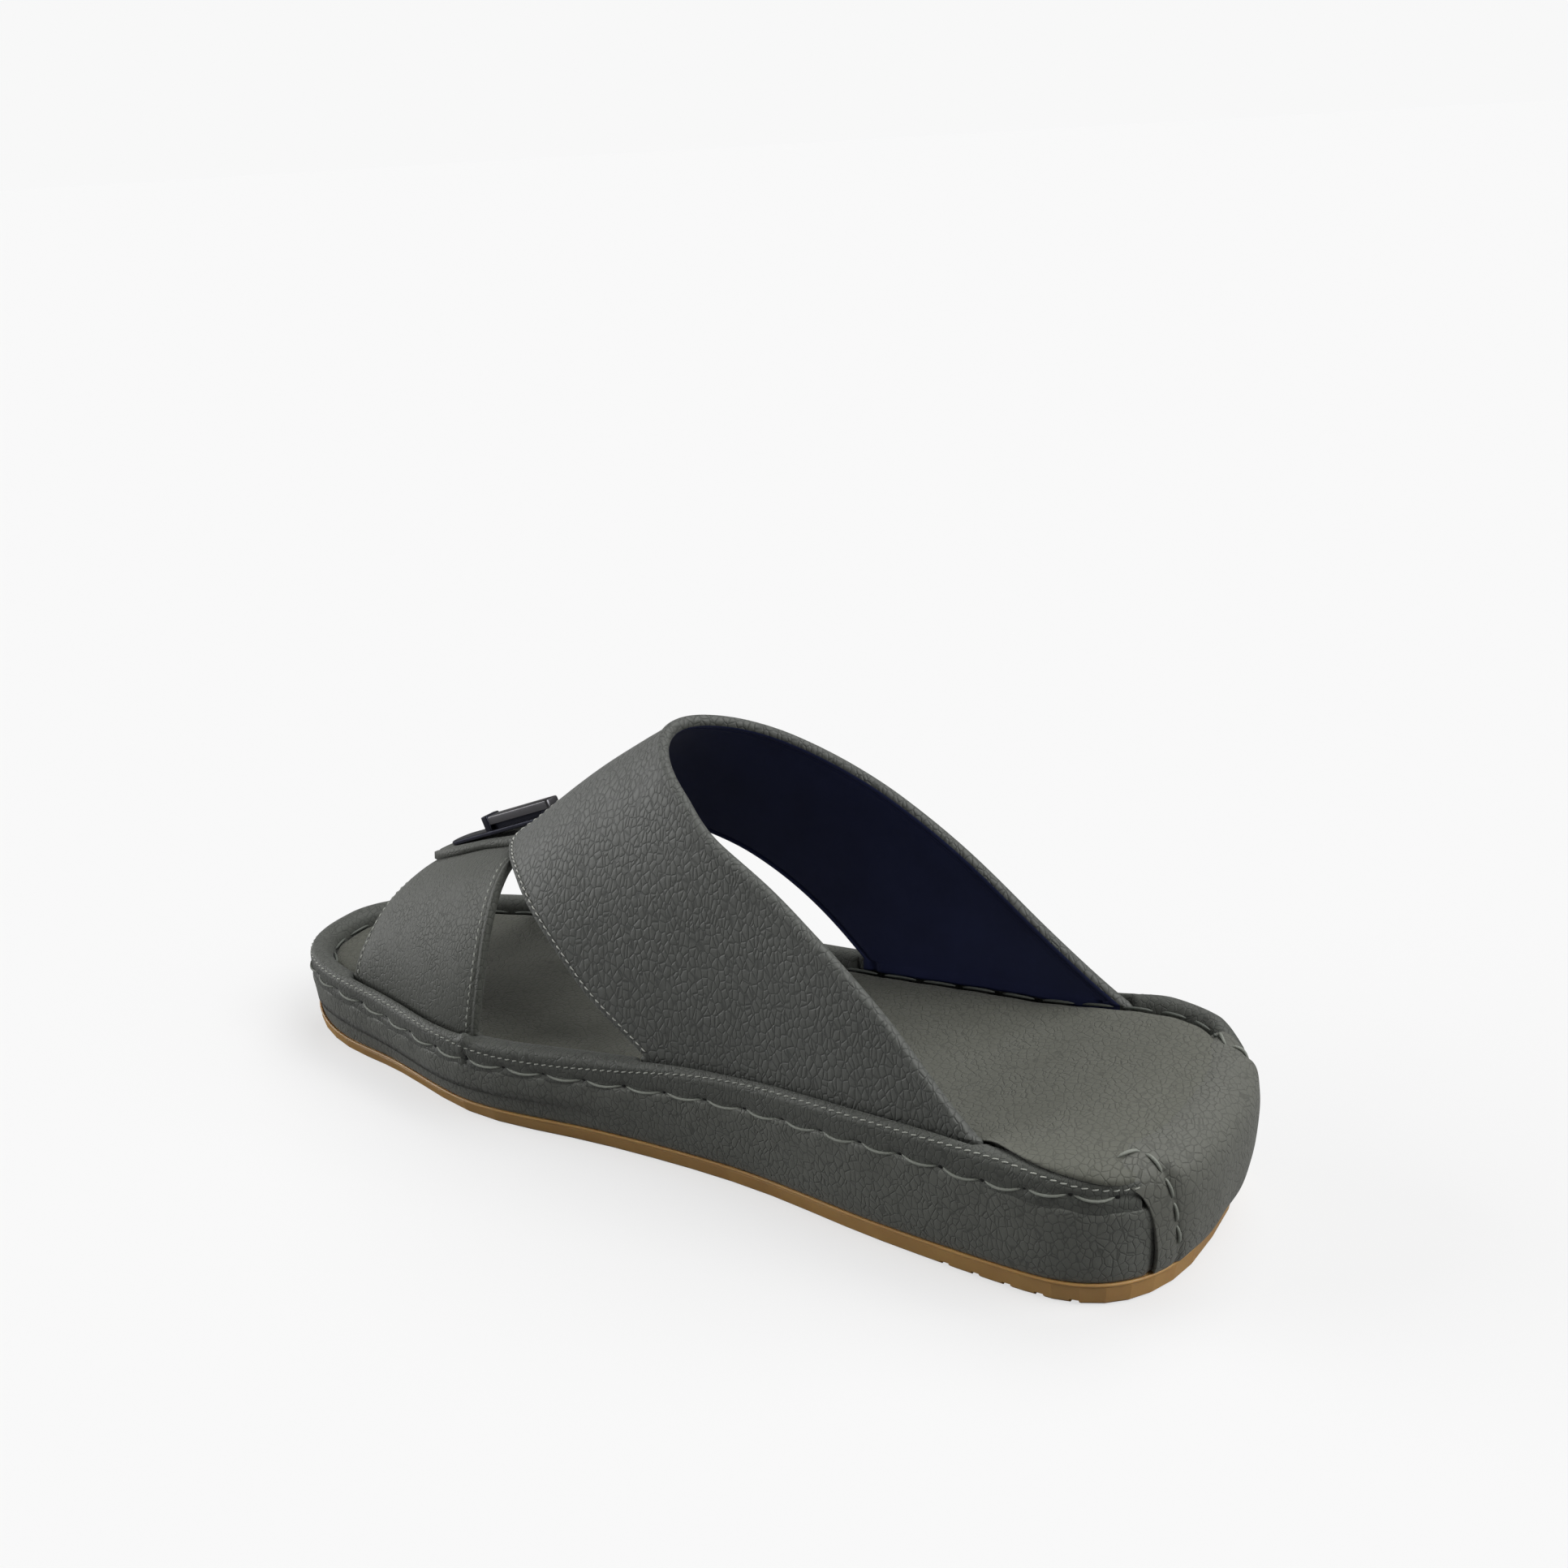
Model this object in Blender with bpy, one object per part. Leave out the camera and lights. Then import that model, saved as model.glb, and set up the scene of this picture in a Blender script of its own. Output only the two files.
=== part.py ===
# An open-toe leather sandal for the right foot, in metres, +Z up and +Y towards the toe.
# The medial side is at -X. The origin is under the middle of the standing sandal.
# A stitched-down leather rim runs round a padded footbed on a leather-wrapped midsole and a gum
# rubber outsole, and the upper is a wide instep saddle over two front straps, with a small tongue
# that carries a metal bar.

import math

import bmesh
import bpy
import numpy as np
from mathutils import Matrix

# Sole sizes
SOLE_LENGTH = 0.285
BALL_WIDTH = 0.093
HEEL_CURVE = 0.033
TOE_CURVE = {"medial": 0.132, "lateral": 0.096}
HEEL_SQUARENESS = 2.7
TOE_SQUARENESS = {"medial": 2.75, "lateral": 1.87}
RIM_HEIGHT = 0.037
OUTSOLE_HEEL = 0.0066
OUTSOLE_TOE = 0.0043
TOE_SPRING = 0.006
SPRING_START = 0.884
OUTSOLE_INSET = 0.0029
OUTSOLE_TOP_INSET = 0.0020
OUTSOLE_EDGE = 0.0010
TOE_OVERHANG = 0.0042
OVERHANG_START = 0.75
WALL_BULGE = 0.0010
GROOVE_DEPTH = 0.0007
GROOVE_WIDTH = 0.0014

# Rim band, footbed and heel wrap sizes
BAND_HEIGHT = 0.0070
BAND_WIDTH = 0.0058
BAND_ROUND = 0.0012
BAND_RISE = 0.0035
BAND_RISE_ZONE = (0.10, 0.17)
FOOTBED_DROP = 0.0035
FOOTBED_HEEL_RISE = 0.0060
FOOTBED_RISE_ZONE = (0.06, 0.24)
FOOTBED_DISH = 0.0015
FOOTBED_EDGE = 0.0012
WRAP_THICKNESS = 0.0020
WRAP_STAND = 0.0007
WRAP_REACH = 0.0100
WRAP_ROLL = 0.0055
WRAP_TUCK = 0.0010

# Upper sizes
COLLAR_HEIGHT = 0.109
WALL = 0.0024
EDGE_NOSE = 0.0009
SADDLE_LIFT = 0.0003
CROSSING_SINK = 0.0050
CROSSING_SPREAD = {"front": 0.30, "rear": 0.50}
TONGUE_STEP = 0.0018
TONGUE_WALL = 0.0032
TONGUE_COLUMNS = 7
SECTION_LEAN = 0.075
SECTION_SHOULDER = 0.53
SECTION_CROWN = 0.49

# Metal bar and its plate
PLATE_LENGTH = 0.0448
PLATE_WIDTH = 0.0080
PLATE_THICKNESS = 0.0012
PLATE_FRONT = 0.823
PLATE_SLOPE = 21.3
PLATE_SPREAD = 0.10
BAR_LENGTH = 0.0290
BAR_WIDTH = 0.0050
BAR_HEIGHT = 0.0024
BAR_RAISE = 0.0016
BAR_SETBACK = 0.0160
BAR_FOOT = 0.0036
BLOCK_LENGTH = 0.0024
BLOCK_WIDTH = 0.0056
METAL_EDGE = 0.0004

# Tread sizes
TREAD_DEPTH = 0.0014
TREAD_WIDTH = 0.0022
TREAD_PITCH = 0.0080
HEEL_TREAD = (0.075, 0.215)
FOREFOOT_TREAD = (0.52, 0.86)
TREAD_MARGIN = 0.009

# Gap between pieces that touch
GAP = 0.0003

# How finely the pieces are cut up
STATIONS = 36
ACROSS = 6
SADDLE_ROWS = 9
SADDLE_COLUMNS = 18
FRONT_ROWS = 7
FRONT_COLUMNS = 14
TONGUE_ROWS = 8
PLATE_PROBES = 24


def table(columns, rows):
    names = columns.split()
    return {name: np.array([row[i] for row in rows]) for i, name in enumerate(names)}


# Half widths of the rim along the foot, as shares of the ball width
OUTLINE = table("along medial lateral", [
    (0.00, 0.430, 0.440),
    (0.10, 0.454, 0.444),
    (0.25, 0.445, 0.434),
    (0.40, 0.405, 0.435),
    (0.55, 0.425, 0.473),
    (0.70, 0.483, 0.515),
    (0.85, 0.440, 0.516),
    (1.00, 0.515, 0.486),
])

# Height of the rim's top along the foot, as shares of the rim height
RIM_LINE = table("along height", [
    (0.0, 0.92),
    (0.2, 1.00),
    (0.4, 0.90),
    (0.6, 0.75),
    (0.8, 0.71),
    (1.0, 0.755),
])

# Height of the upper's crest along the foot, as shares of the collar height
CREST = table("along height", [
    (0.140, 1.070),
    (0.200, 1.250),
    (0.280, 1.345),
    (0.350, 1.310),
    (0.456, 1.138),
    (0.526, 1.000),
    (0.560, 0.945),
    (0.614, 0.854),
    (0.667, 0.752),
    (0.695, 0.695),
    (0.720, 0.660),
    (0.772, 0.602),
    (0.825, 0.536),
    (0.854, 0.492),
    (0.877, 0.440),
    (0.912, 0.330),
])

# Edges of the instep saddle. The way across runs from 0 at the crest to 1 at the rim,
# and each edge is a share of the sole's length.
SADDLE_REAR = table("across medial lateral", [
    (0.00, 0.526, 0.526),
    (0.25, 0.511, 0.504),
    (0.45, 0.472, 0.456),
    (0.60, 0.425, 0.398),
    (0.75, 0.334, 0.316),
    (0.87, 0.242, 0.239),
    (1.00, 0.161, 0.144),
])
SADDLE_FRONT = table("across medial lateral", [
    (0.00, 0.660, 0.660),
    (0.12, 0.674, 0.672),
    (0.25, 0.696, 0.690),
    (0.45, 0.660, 0.647),
    (0.60, 0.628, 0.603),
    (0.75, 0.589, 0.530),
    (0.87, 0.551, 0.474),
    (1.00, 0.490, 0.411),
])

# Edges of the front straps, in the same way
FRONT_REAR = table("across medial lateral", [
    (0.00, 0.646, 0.646),
    (0.15, 0.670, 0.662),
    (0.30, 0.694, 0.682),
    (0.45, 0.691, 0.670),
    (0.60, 0.687, 0.657),
    (0.80, 0.684, 0.645),
    (1.00, 0.688, 0.637),
])
FRONT_FRONT = table("across medial lateral", [
    (0.00, 0.875, 0.875),
    (0.20, 0.877, 0.871),
    (0.40, 0.877, 0.855),
    (0.60, 0.878, 0.832),
    (0.80, 0.881, 0.832),
    (1.00, 0.883, 0.835),
])

# How deep the layers lie under the crest along the foot, as shares of the sink at the crossing
SINK_LINE = table("along depth", [
    (0.600, 0.70),
    (0.640, 0.74),
    (0.675, 0.98),
    (0.700, 0.92),
    (0.744, 0.68),
    (0.800, 0.30),
    (0.823, 0.17),
    (0.877, 0.00),
])

# Half width of the tongue along the foot, in the way across
TONGUE_SIDE = table("along across", [
    (0.625, 0.20),
    (0.650, 0.24),
    (0.668, 0.28),
    (0.698, 0.25),
    (0.744, 0.19),
    (0.800, 0.12),
    (0.835, 0.07),
    (0.849, 0.03),
])

# Sides of the sole pieces from the bottom up: how far in from the rim's outline, the level that
# the height counts from, the height above it and the share of the toe's overhang
OUTSOLE_SIDE = (
    (OUTSOLE_INSET + OUTSOLE_EDGE, "ground", 0.0, 1.0),
    (OUTSOLE_INSET, "ground", OUTSOLE_EDGE, 1.0),
    (OUTSOLE_TOP_INSET, "outsole", -OUTSOLE_EDGE, 0.7),
    (OUTSOLE_TOP_INSET + OUTSOLE_EDGE / 2, "outsole", 0.0, 0.7),
)
MIDSOLE_SIDE = (
    (OUTSOLE_TOP_INSET + GAP, "outsole", GAP, 0.7),
    (OUTSOLE_TOP_INSET / 2, "outsole", 4 * WALL_BULGE, 0.5),
    (-WALL_BULGE / 2, "shelf", -6 * WALL_BULGE, 0.2),
    (-WALL_BULGE, "shelf", -2 * GROOVE_WIDTH, 0.0),
    (-WALL_BULGE + GROOVE_DEPTH, "shelf", -GAP, 0.0),
)

MATERIALS = {
    "gum_rubber": ((0.26, 0.125, 0.035), 0.45, 0.0),
    "grain_leather": ((0.105, 0.112, 0.102), 0.55, 0.0),
    "wall_leather": ((0.075, 0.085, 0.083), 0.55, 0.0),
    "footbed_leather": ((0.145, 0.150, 0.125), 0.60, 0.0),
    "gunmetal": ((0.085, 0.085, 0.10), 0.30, 1.0),
}


# A smooth curve through a table's rows, level outside them
def smooth(knots, values, at):
    at = min(max(at, knots[0]), knots[-1])
    slopes = np.gradient(values, knots)
    i = min(max(int(np.searchsorted(knots, at)) - 1, 0), len(knots) - 2)
    step = knots[i + 1] - knots[i]
    s = (at - knots[i]) / step
    start = (2 * s ** 3 - 3 * s ** 2 + 1) * values[i] + (s ** 3 - 2 * s ** 2 + s) * step * slopes[i]
    end = (3 * s ** 2 - 2 * s ** 3) * values[i + 1] + (s ** 3 - s ** 2) * step * slopes[i + 1]
    return float(start + end)


# An edge's table read across the foot: negative is medial
def edge_along(edge, across):
    knots = np.concatenate([-edge["across"][:0:-1], edge["across"]])
    values = np.concatenate([edge["medial"][:0:-1], edge["lateral"]])
    return smooth(knots, values, max(-1.0, min(1.0, across)))


# A soft step from 0 to 1
def ease(share):
    share = min(max(share, 0.0), 1.0)
    return share * share * (3 - 2 * share)


def end_round(distance, reach, squareness):
    if distance >= reach:
        return 1.0
    return (1 - (1 - distance / reach) ** squareness) ** (1 / squareness)


def half_width(side, along):
    along = min(max(along, 0.0), 1.0)
    width = BALL_WIDTH * smooth(OUTLINE["along"], OUTLINE[side], along)
    heel = end_round(along * SOLE_LENGTH, HEEL_CURVE, HEEL_SQUARENESS)
    toe = end_round((1 - along) * SOLE_LENGTH, TOE_CURVE[side], TOE_SQUARENESS[side])
    return width * heel * toe


def widest(side):
    return max(half_width(side, i / 400) for i in range(401))


CENTRE_X = (widest("lateral") - widest("medial")) / 2
HEEL_BACK = WALL_BULGE + WRAP_STAND
CENTRE_Y = (SOLE_LENGTH + WALL_BULGE - HEEL_BACK) / 2
SIGN = {"medial": -1.0, "lateral": 1.0}


# The stations along the foot lie closer together at both ends
def station(i, count=STATIONS):
    return (1 - math.cos(math.pi * i / count)) / 2


# Outline point and its outward direction in plan, before the move to the origin
def rim_point(side, along):
    x = SIGN[side] * half_width(side, along)
    y = along * SOLE_LENGTH
    if along < 1e-6:
        return x, y, 0.0, -1.0
    if along > 1 - 1e-6:
        return x, y, 0.0, 1.0
    step = min(0.001, along / 2, (1 - along) / 2)
    dx = SIGN[side] * (half_width(side, along + step) - half_width(side, along - step))
    dy = 2 * step * SOLE_LENGTH
    length = math.hypot(dx, dy)
    return x, y, SIGN[side] * dy / length, -SIGN[side] * dx / length


def inset_point(side, along, inset):
    x, y, out_x, out_y = rim_point(side, along)
    return x - inset * out_x - CENTRE_X, y - inset * out_y - CENTRE_Y


def share_along(y):
    return min(max((y + CENTRE_Y) / SOLE_LENGTH, 0.0), 1.0)


def rim_top(y):
    return RIM_HEIGHT * smooth(RIM_LINE["along"], RIM_LINE["height"], share_along(y))


def ground(y):
    rise = max(0.0, (share_along(y) - SPRING_START) / (1 - SPRING_START))
    return TOE_SPRING * rise ** 2


def outsole_top(y):
    return ground(y) + OUTSOLE_HEEL + (OUTSOLE_TOE - OUTSOLE_HEEL) * share_along(y)


def shelf(y):
    return rim_top(y) - BAND_HEIGHT


# The footbed lies below the rim, and rises over it at the heel
def footbed_top(y):
    low, high = FOOTBED_RISE_ZONE
    return rim_top(y) - FOOTBED_DROP + FOOTBED_HEEL_RISE * ease((high - share_along(y)) / (high - low))


LEVELS = {"ground": ground, "outsole": outsole_top, "shelf": shelf, "rim": rim_top, "footbed": footbed_top}

WRAP_END = WRAP_REACH / SOLE_LENGTH
WRAP_STEP = GAP / SOLE_LENGTH


# The midsole steps in behind the heel wrap
def wrap_recess(along):
    if along > WRAP_END:
        return 0.0
    return WRAP_THICKNESS - WRAP_STAND + GAP


def toe_overhang(along):
    return TOE_OVERHANG * max(0.0, (along - OVERHANG_START) / (1 - OVERHANG_START)) ** 2


def new_object(name, material, bm):
    bmesh.ops.remove_doubles(bm, verts=bm.verts, dist=1e-6)
    bmesh.ops.dissolve_degenerate(bm, edges=bm.edges, dist=1e-6)
    bmesh.ops.recalc_face_normals(bm, faces=bm.faces)
    mesh = bpy.data.meshes.new(name)
    bm.to_mesh(mesh)
    bm.free()
    mesh.shade_smooth()
    mesh.set_sharp_from_angle(angle=math.radians(40))
    piece = bpy.data.objects.new(name, mesh)
    SANDAL.objects.link(piece)
    mesh.materials.append(make_material(material))
    return piece


def make_material(name):
    found = bpy.data.materials.get(name)
    if found:
        return found
    colour, roughness, metallic = MATERIALS[name]
    material = bpy.data.materials.new(name)
    material.use_nodes = True
    shader = material.node_tree.nodes["Principled BSDF"]
    shader.inputs["Base Color"].default_value = (*colour, 1.0)
    shader.inputs["Roughness"].default_value = roughness
    shader.inputs["Metallic"].default_value = metallic
    return material


# Closed rings joined one after the other, with a face at each end where they don't shrink to a line
def loft(bm, rings, capped):
    rows = [[bm.verts.new(point) for point in ring] for ring in rings]
    count = len(rows[0])
    for first, second in zip(rows, rows[1:]):
        for i in range(count):
            j = (i + 1) % count
            bm.faces.new((first[i], first[j], second[j], second[i]))
    if capped:
        bm.faces.new(rows[0])
        bm.faces.new(rows[-1])
    return rows


# The end of a curved wall, closed from its face to its lining pair by pair
def close_end(bm, row, nosed):
    last = len(row) - (2 if nosed else 1)
    pairs = [(row[i], row[last - i]) for i in range((last + 1) // 2)]
    for (face, lining), (next_face, next_lining) in zip(pairs, pairs[1:]):
        bm.faces.new((face, next_face, next_lining, lining))
    if nosed:
        bm.faces.new((row[-1], *pairs[0]))
        bm.faces.new((row[last // 2], *pairs[-1]))


# One sole piece as sections across the foot: up the medial side, over the top and down the lateral
def sole_piece(name, material, side_rows, recess, dish):
    ends = [WRAP_END - WRAP_STEP, WRAP_END + WRAP_STEP] if recess else []
    places = sorted([station(i) for i in range(STATIONS + 1)] + ends)
    rings = []
    for along in places:
        ring = {}
        for side in SIGN:
            points = []
            for inset, level, rise, overhang in side_rows:
                depth = inset - overhang * toe_overhang(along) + (wrap_recess(along) if recess else 0.0)
                x, y = inset_point(side, along, depth)
                points.append((x, y, LEVELS[level](y) + rise))
            ring[side] = points
        start = np.array(ring["medial"][-1])
        end = np.array(ring["lateral"][-1])
        middle = []
        for k in range(1, ACROSS):
            share = k / ACROSS
            point = start + (end - start) * share
            point[2] -= dish * 4 * share * (1 - share) * min(1.0, abs(end[0] - start[0]) / BALL_WIDTH)
            middle.append(tuple(point))
        rings.append(ring["medial"] + middle + ring["lateral"][::-1])
    bm = bmesh.new()
    loft(bm, rings, False)
    return new_object(name, material, bm)


# Stations round the rim: medial side from the wrap to the toe tip, then back down the lateral side
def rim_stations(start):
    inner = [station(i) for i in range(STATIONS + 1) if station(i) > start + WRAP_STEP]
    leg_ends = [edge[side][-1] + shift
                for edge, shifts in ((SADDLE_REAR, (-1, 0)), (SADDLE_FRONT, (0, 1)),
                                     (FRONT_REAR, (-1, 0)), (FRONT_FRONT, (0, 1)))
                for side in SIGN
                for shift in [s * LEG_MARGIN for s in shifts]]
    medial = sorted(set(inner + [start] + [end for end in leg_ends]))
    return [("medial", along) for along in medial] + [("lateral", along) for along in medial[-2::-1]]


LEG_MARGIN = 2.5 * EDGE_NOSE / SOLE_LENGTH
LEG_INSET = BAND_WIDTH - WALL - GAP
BAND_THIN = LEG_INSET - GAP


# On the lateral side the rim rises round the heel
def band_rise(side, along):
    if side == "medial":
        return 0.0
    low, high = BAND_RISE_ZONE
    return BAND_RISE * ease((high - along) / (high - low))


# The rim is thinner where a strap is tucked in behind it
def band_width(side, along):
    for rear, front in ((SADDLE_REAR, SADDLE_FRONT), (FRONT_REAR, FRONT_FRONT)):
        low = rear[side][-1] - LEG_MARGIN
        high = front[side][-1] + LEG_MARGIN
        if low - 1e-6 <= along <= high + 1e-6:
            return BAND_THIN
    return BAND_WIDTH


def rim_band():
    rings = []
    for side, along in rim_stations(WRAP_END + WRAP_STEP):
        width = band_width(side, along)
        section = (
            (-WALL_BULGE + GROOVE_DEPTH, "shelf", GAP),
            (-WALL_BULGE, "shelf", GROOVE_WIDTH),
            (-WALL_BULGE / 2, "rim", -2 * BAND_ROUND),
            (BAND_ROUND / 2, "rim", -BAND_ROUND / 4),
            (BAND_ROUND, "rim", 0.0),
            (width - BAND_ROUND / 2, "rim", -BAND_ROUND / 4),
            (width, "rim", -BAND_ROUND),
            (width, "shelf", GAP),
        )
        ring = []
        for inset, level, rise in section:
            x, y = inset_point(side, along, inset)
            lift = band_rise(side, along) if level == "rim" else 0.0
            ring.append((x, y, LEVELS[level](y) + rise + lift))
        rings.append(ring)
    bm = bmesh.new()
    loft(bm, rings, True)
    return new_object("rim_band", "grain_leather", bm)


# The footbed and the leather that rolls over the heel, as one piece
def footbed():
    edge = BAND_WIDTH + GAP
    side_rows = (
        (edge, "shelf", GAP, 0.0),
        (edge, "footbed", -FOOTBED_EDGE, 0.0),
        (edge + FOOTBED_EDGE / 2, "footbed", -FOOTBED_EDGE / 4, 0.0),
        (edge + 2 * FOOTBED_EDGE, "footbed", 0.0, 0.0),
    )
    pad = sole_piece("footbed", "footbed_leather", side_rows, False, FOOTBED_DISH)
    outer = -WALL_BULGE - WRAP_STAND
    inner = outer + WRAP_THICKNESS
    section = (
        (OUTSOLE_TOP_INSET - WRAP_STAND, "outsole", GAP),
        (outer + WRAP_TUCK, "outsole", WRAP_ROLL),
        (outer, "shelf", -GROOVE_WIDTH),
        (outer + WALL_BULGE / 2, "rim", -WRAP_ROLL / 2),
        (outer + WRAP_ROLL / 3, "footbed", -WRAP_ROLL / 4),
        (outer + WRAP_ROLL, "footbed", 0.0),
        (edge + 3 * FOOTBED_EDGE, "footbed", -FOOTBED_EDGE / 4),
        (edge + 3 * FOOTBED_EDGE, "shelf", 2 * GAP),
        (inner, "shelf", 2 * GAP),
        (inner + WRAP_TUCK - GAP, "outsole", WRAP_ROLL),
        (OUTSOLE_TOP_INSET + WRAP_TUCK, "outsole", GAP),
    )
    shares = [station(i) for i in range(STATIONS + 1) if station(i) < WRAP_END - WRAP_STEP]
    places = [("medial", along) for along in [WRAP_END - WRAP_STEP] + shares[:0:-1]]
    places += [("lateral", along) for along in shares + [WRAP_END - WRAP_STEP]]
    rings = []
    for side, along in places:
        ring = []
        for inset, level, rise in section:
            x, y = inset_point(side, along, inset)
            ring.append((x, y, LEVELS[level](y) + rise))
        rings.append(ring)
    bm = bmesh.new()
    loft(bm, rings, True)
    wrap = new_object("heel_wrap", "footbed_leather", bm)
    join(pad, wrap)
    return pad


# Plan line that the straps rise from: the rim's outline moved in, read as a width at a place along
def leg_lines():
    lines = {}
    for side in SIGN:
        points = [inset_point(side, station(i, 4 * STATIONS), LEG_INSET) for i in range(4 * STATIONS + 1)]
        lines[side] = np.array(points)
    return lines


# A point of the upper's form: across runs from -1 at the medial rim over the crest to 1 at the
# lateral rim, and on to 2 down to the shelf between the rim and the footbed
def form_point(along, across):
    y = along * SOLE_LENGTH - CENTRE_Y
    side = "medial" if across < 0 else "lateral"
    line = LEG_LINES[side]
    foot_x = float(np.interp(y, line[:, 1], line[:, 0]))
    crest_x = -CENTRE_X
    crest_z = COLLAR_HEIGHT * smooth(CREST["along"], CREST["height"], along)
    foot_z = rim_top(y)
    s = abs(across)
    if s > 1:
        depth = (s - 1) * (BAND_HEIGHT - GAP)
        return np.array((foot_x, y, foot_z - depth))
    out = 3 * (1 - s) ** 2 * s * SECTION_CROWN + 3 * (1 - s) * s ** 2 * (1 - SECTION_LEAN) + s ** 3
    up = (1 - s) ** 3 + 3 * (1 - s) ** 2 * s + 3 * (1 - s) * s ** 2 * SECTION_SHOULDER
    return np.array((crest_x + out * (foot_x - crest_x), y, foot_z + up * (crest_z - foot_z)))


def form_normal(along, across):
    step = 0.002
    if abs(across) > 1:
        dx, dy, _ = form_point(along + step, across) - form_point(along - step, across)
        normal = np.array((dy, -dx, 0.0)) * (1 if across > 0 else -1)
        return normal / np.linalg.norm(normal)
    low = max(-1.0, across - step)
    high = min(1.0, across + step)
    forward = form_point(along + step, across) - form_point(along - step, across)
    over = form_point(along, high) - form_point(along, low)
    normal = np.cross(over, forward)
    return normal / np.linalg.norm(normal)


# The layers stand apart at the crossing and come together towards the rim and the front edge
def front_lift(along, across):
    depth = smooth(SINK_LINE["along"], SINK_LINE["depth"], along)
    spread = CROSSING_SPREAD["front"] + (CROSSING_SPREAD["rear"] - CROSSING_SPREAD["front"]) * depth
    return -CROSSING_SINK * depth * ease(1 - abs(across) / spread)


def tongue_lift(along, across):
    return front_lift(along, across) + TONGUE_STEP


def saddle_lift(along, across):
    return SADDLE_LIFT * ease(1 - abs(across))


def lifted(along, across, lift):
    return form_point(along, across) + form_normal(along, across) * lift(along, across)


# A section of a strap: its outer face from rear to front, a round edge, and back along its lining
def strap_ring(across, rear, front, lift, rows):
    nose = EDGE_NOSE / SOLE_LENGTH
    lining = []
    face = []
    for k in range(rows):
        along = rear + (front - rear) * k / (rows - 1)
        outer = lifted(along, across, lift)
        face.append(tuple(outer))
        lining.append(tuple(outer - form_normal(along, across) * WALL))
    ends = []
    for along, k in ((front + nose, -1), (rear - nose, 0)):
        middle = (np.array(face[k]) + np.array(lining[k])) / 2
        reach = form_point(along, across) - form_point(front if k else rear, across)
        ends.append(tuple(middle + reach))
    return face + [ends[0]] + lining[::-1] + [ends[1]]


def ways_across(count):
    half = [math.sin(math.pi / 2 * i / count) for i in range(1, count + 1)]
    tucked = [1.5, 2.0]
    side = half + tucked
    return [-s for s in side[::-1]] + [0.0] + side


def strap(name, rear, front, lift, rows, count):
    rings = []
    for across in ways_across(count):
        rings.append(strap_ring(across, edge_along(rear, across), edge_along(front, across), lift, rows))
    bm = bmesh.new()
    rows = loft(bm, rings, False)
    for row in (rows[0], rows[-1]):
        close_end(bm, row, True)
    return new_object(name, "grain_leather", bm)


def tongue():
    back = TONGUE_SIDE["along"][0]
    tip = TONGUE_SIDE["along"][-1]
    rings = []
    for k in range(TONGUE_ROWS + 1):
        along = back + (tip - back) * math.sin(math.pi / 2 * k / TONGUE_ROWS)
        side = smooth(TONGUE_SIDE["along"], TONGUE_SIDE["across"], along)
        face = []
        lining = []
        for i in range(TONGUE_COLUMNS):
            across = side * (2 * i / (TONGUE_COLUMNS - 1) - 1)
            outer = lifted(along, across, tongue_lift)
            face.append(tuple(outer))
            lining.append(tuple(outer - form_normal(along, across) * TONGUE_WALL))
        rings.append(face + lining[::-1])
    bm = bmesh.new()
    rows = loft(bm, rings, False)
    for row in (rows[0], rows[-1]):
        close_end(bm, row, False)
    return new_object("tongue", "grain_leather", bm)


def apply_boolean(piece, other, operation):
    modifier = piece.modifiers.new(operation.lower(), "BOOLEAN")
    modifier.operation = operation
    modifier.solver = "EXACT"
    modifier.object = other
    bpy.context.view_layer.update()
    shaped = piece.evaluated_get(bpy.context.evaluated_depsgraph_get())
    mesh = bpy.data.meshes.new_from_object(shaped)
    piece.modifiers.clear()
    piece.data = mesh


# Two bodies become one, and the second object goes
def join(piece, other):
    apply_boolean(piece, other, "UNION")
    bpy.data.objects.remove(other, do_unlink=True)


def upper():
    piece = strap("upper", SADDLE_REAR, SADDLE_FRONT, saddle_lift, SADDLE_ROWS, SADDLE_COLUMNS)
    join(piece, tongue())
    join(piece, strap("front_straps", FRONT_REAR, FRONT_FRONT, front_lift, FRONT_ROWS, FRONT_COLUMNS))
    return piece


# A metal block with bevelled edges, in the plate's own directions: across, along and off it
def metal_block(name, size, seat, forward, lift):
    bm = bmesh.new()
    made = bmesh.ops.create_cube(bm, size=1.0)
    bmesh.ops.scale(bm, vec=size, verts=made["verts"])
    bmesh.ops.bevel(bm, geom=bm.edges[:], offset=METAL_EDGE, segments=1, affect="EDGES")
    block = new_object(name, "gunmetal", bm)
    middle = seat["front"] + seat["along"] * forward + seat["off"] * lift
    block.matrix_world = Matrix.Translation(middle) @ Matrix.Rotation(-seat["slope"], 4, "X")
    return block


# The plate's underside runs just clear of the tongue below it
def plate_seat():
    slope = math.radians(PLATE_SLOPE)
    front = lifted(PLATE_FRONT, 0.0, tongue_lift)
    along = np.array((0.0, -math.cos(slope), math.sin(slope)))
    off = np.array((0.0, math.sin(slope), math.cos(slope)))
    highest = 0.0
    for k in range(PLATE_PROBES + 1):
        share = PLATE_FRONT - PLATE_LENGTH / SOLE_LENGTH * k / PLATE_PROBES
        for across in (-PLATE_SPREAD, -PLATE_SPREAD / 2, 0.0, PLATE_SPREAD / 2, PLATE_SPREAD):
            reach = lifted(share, across, tongue_lift) - front
            if np.dot(reach, along) < PLATE_LENGTH:
                highest = max(highest, float(np.dot(reach, off)))
    return {"front": front + off * (highest + GAP), "along": along, "off": off, "slope": slope}


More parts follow.
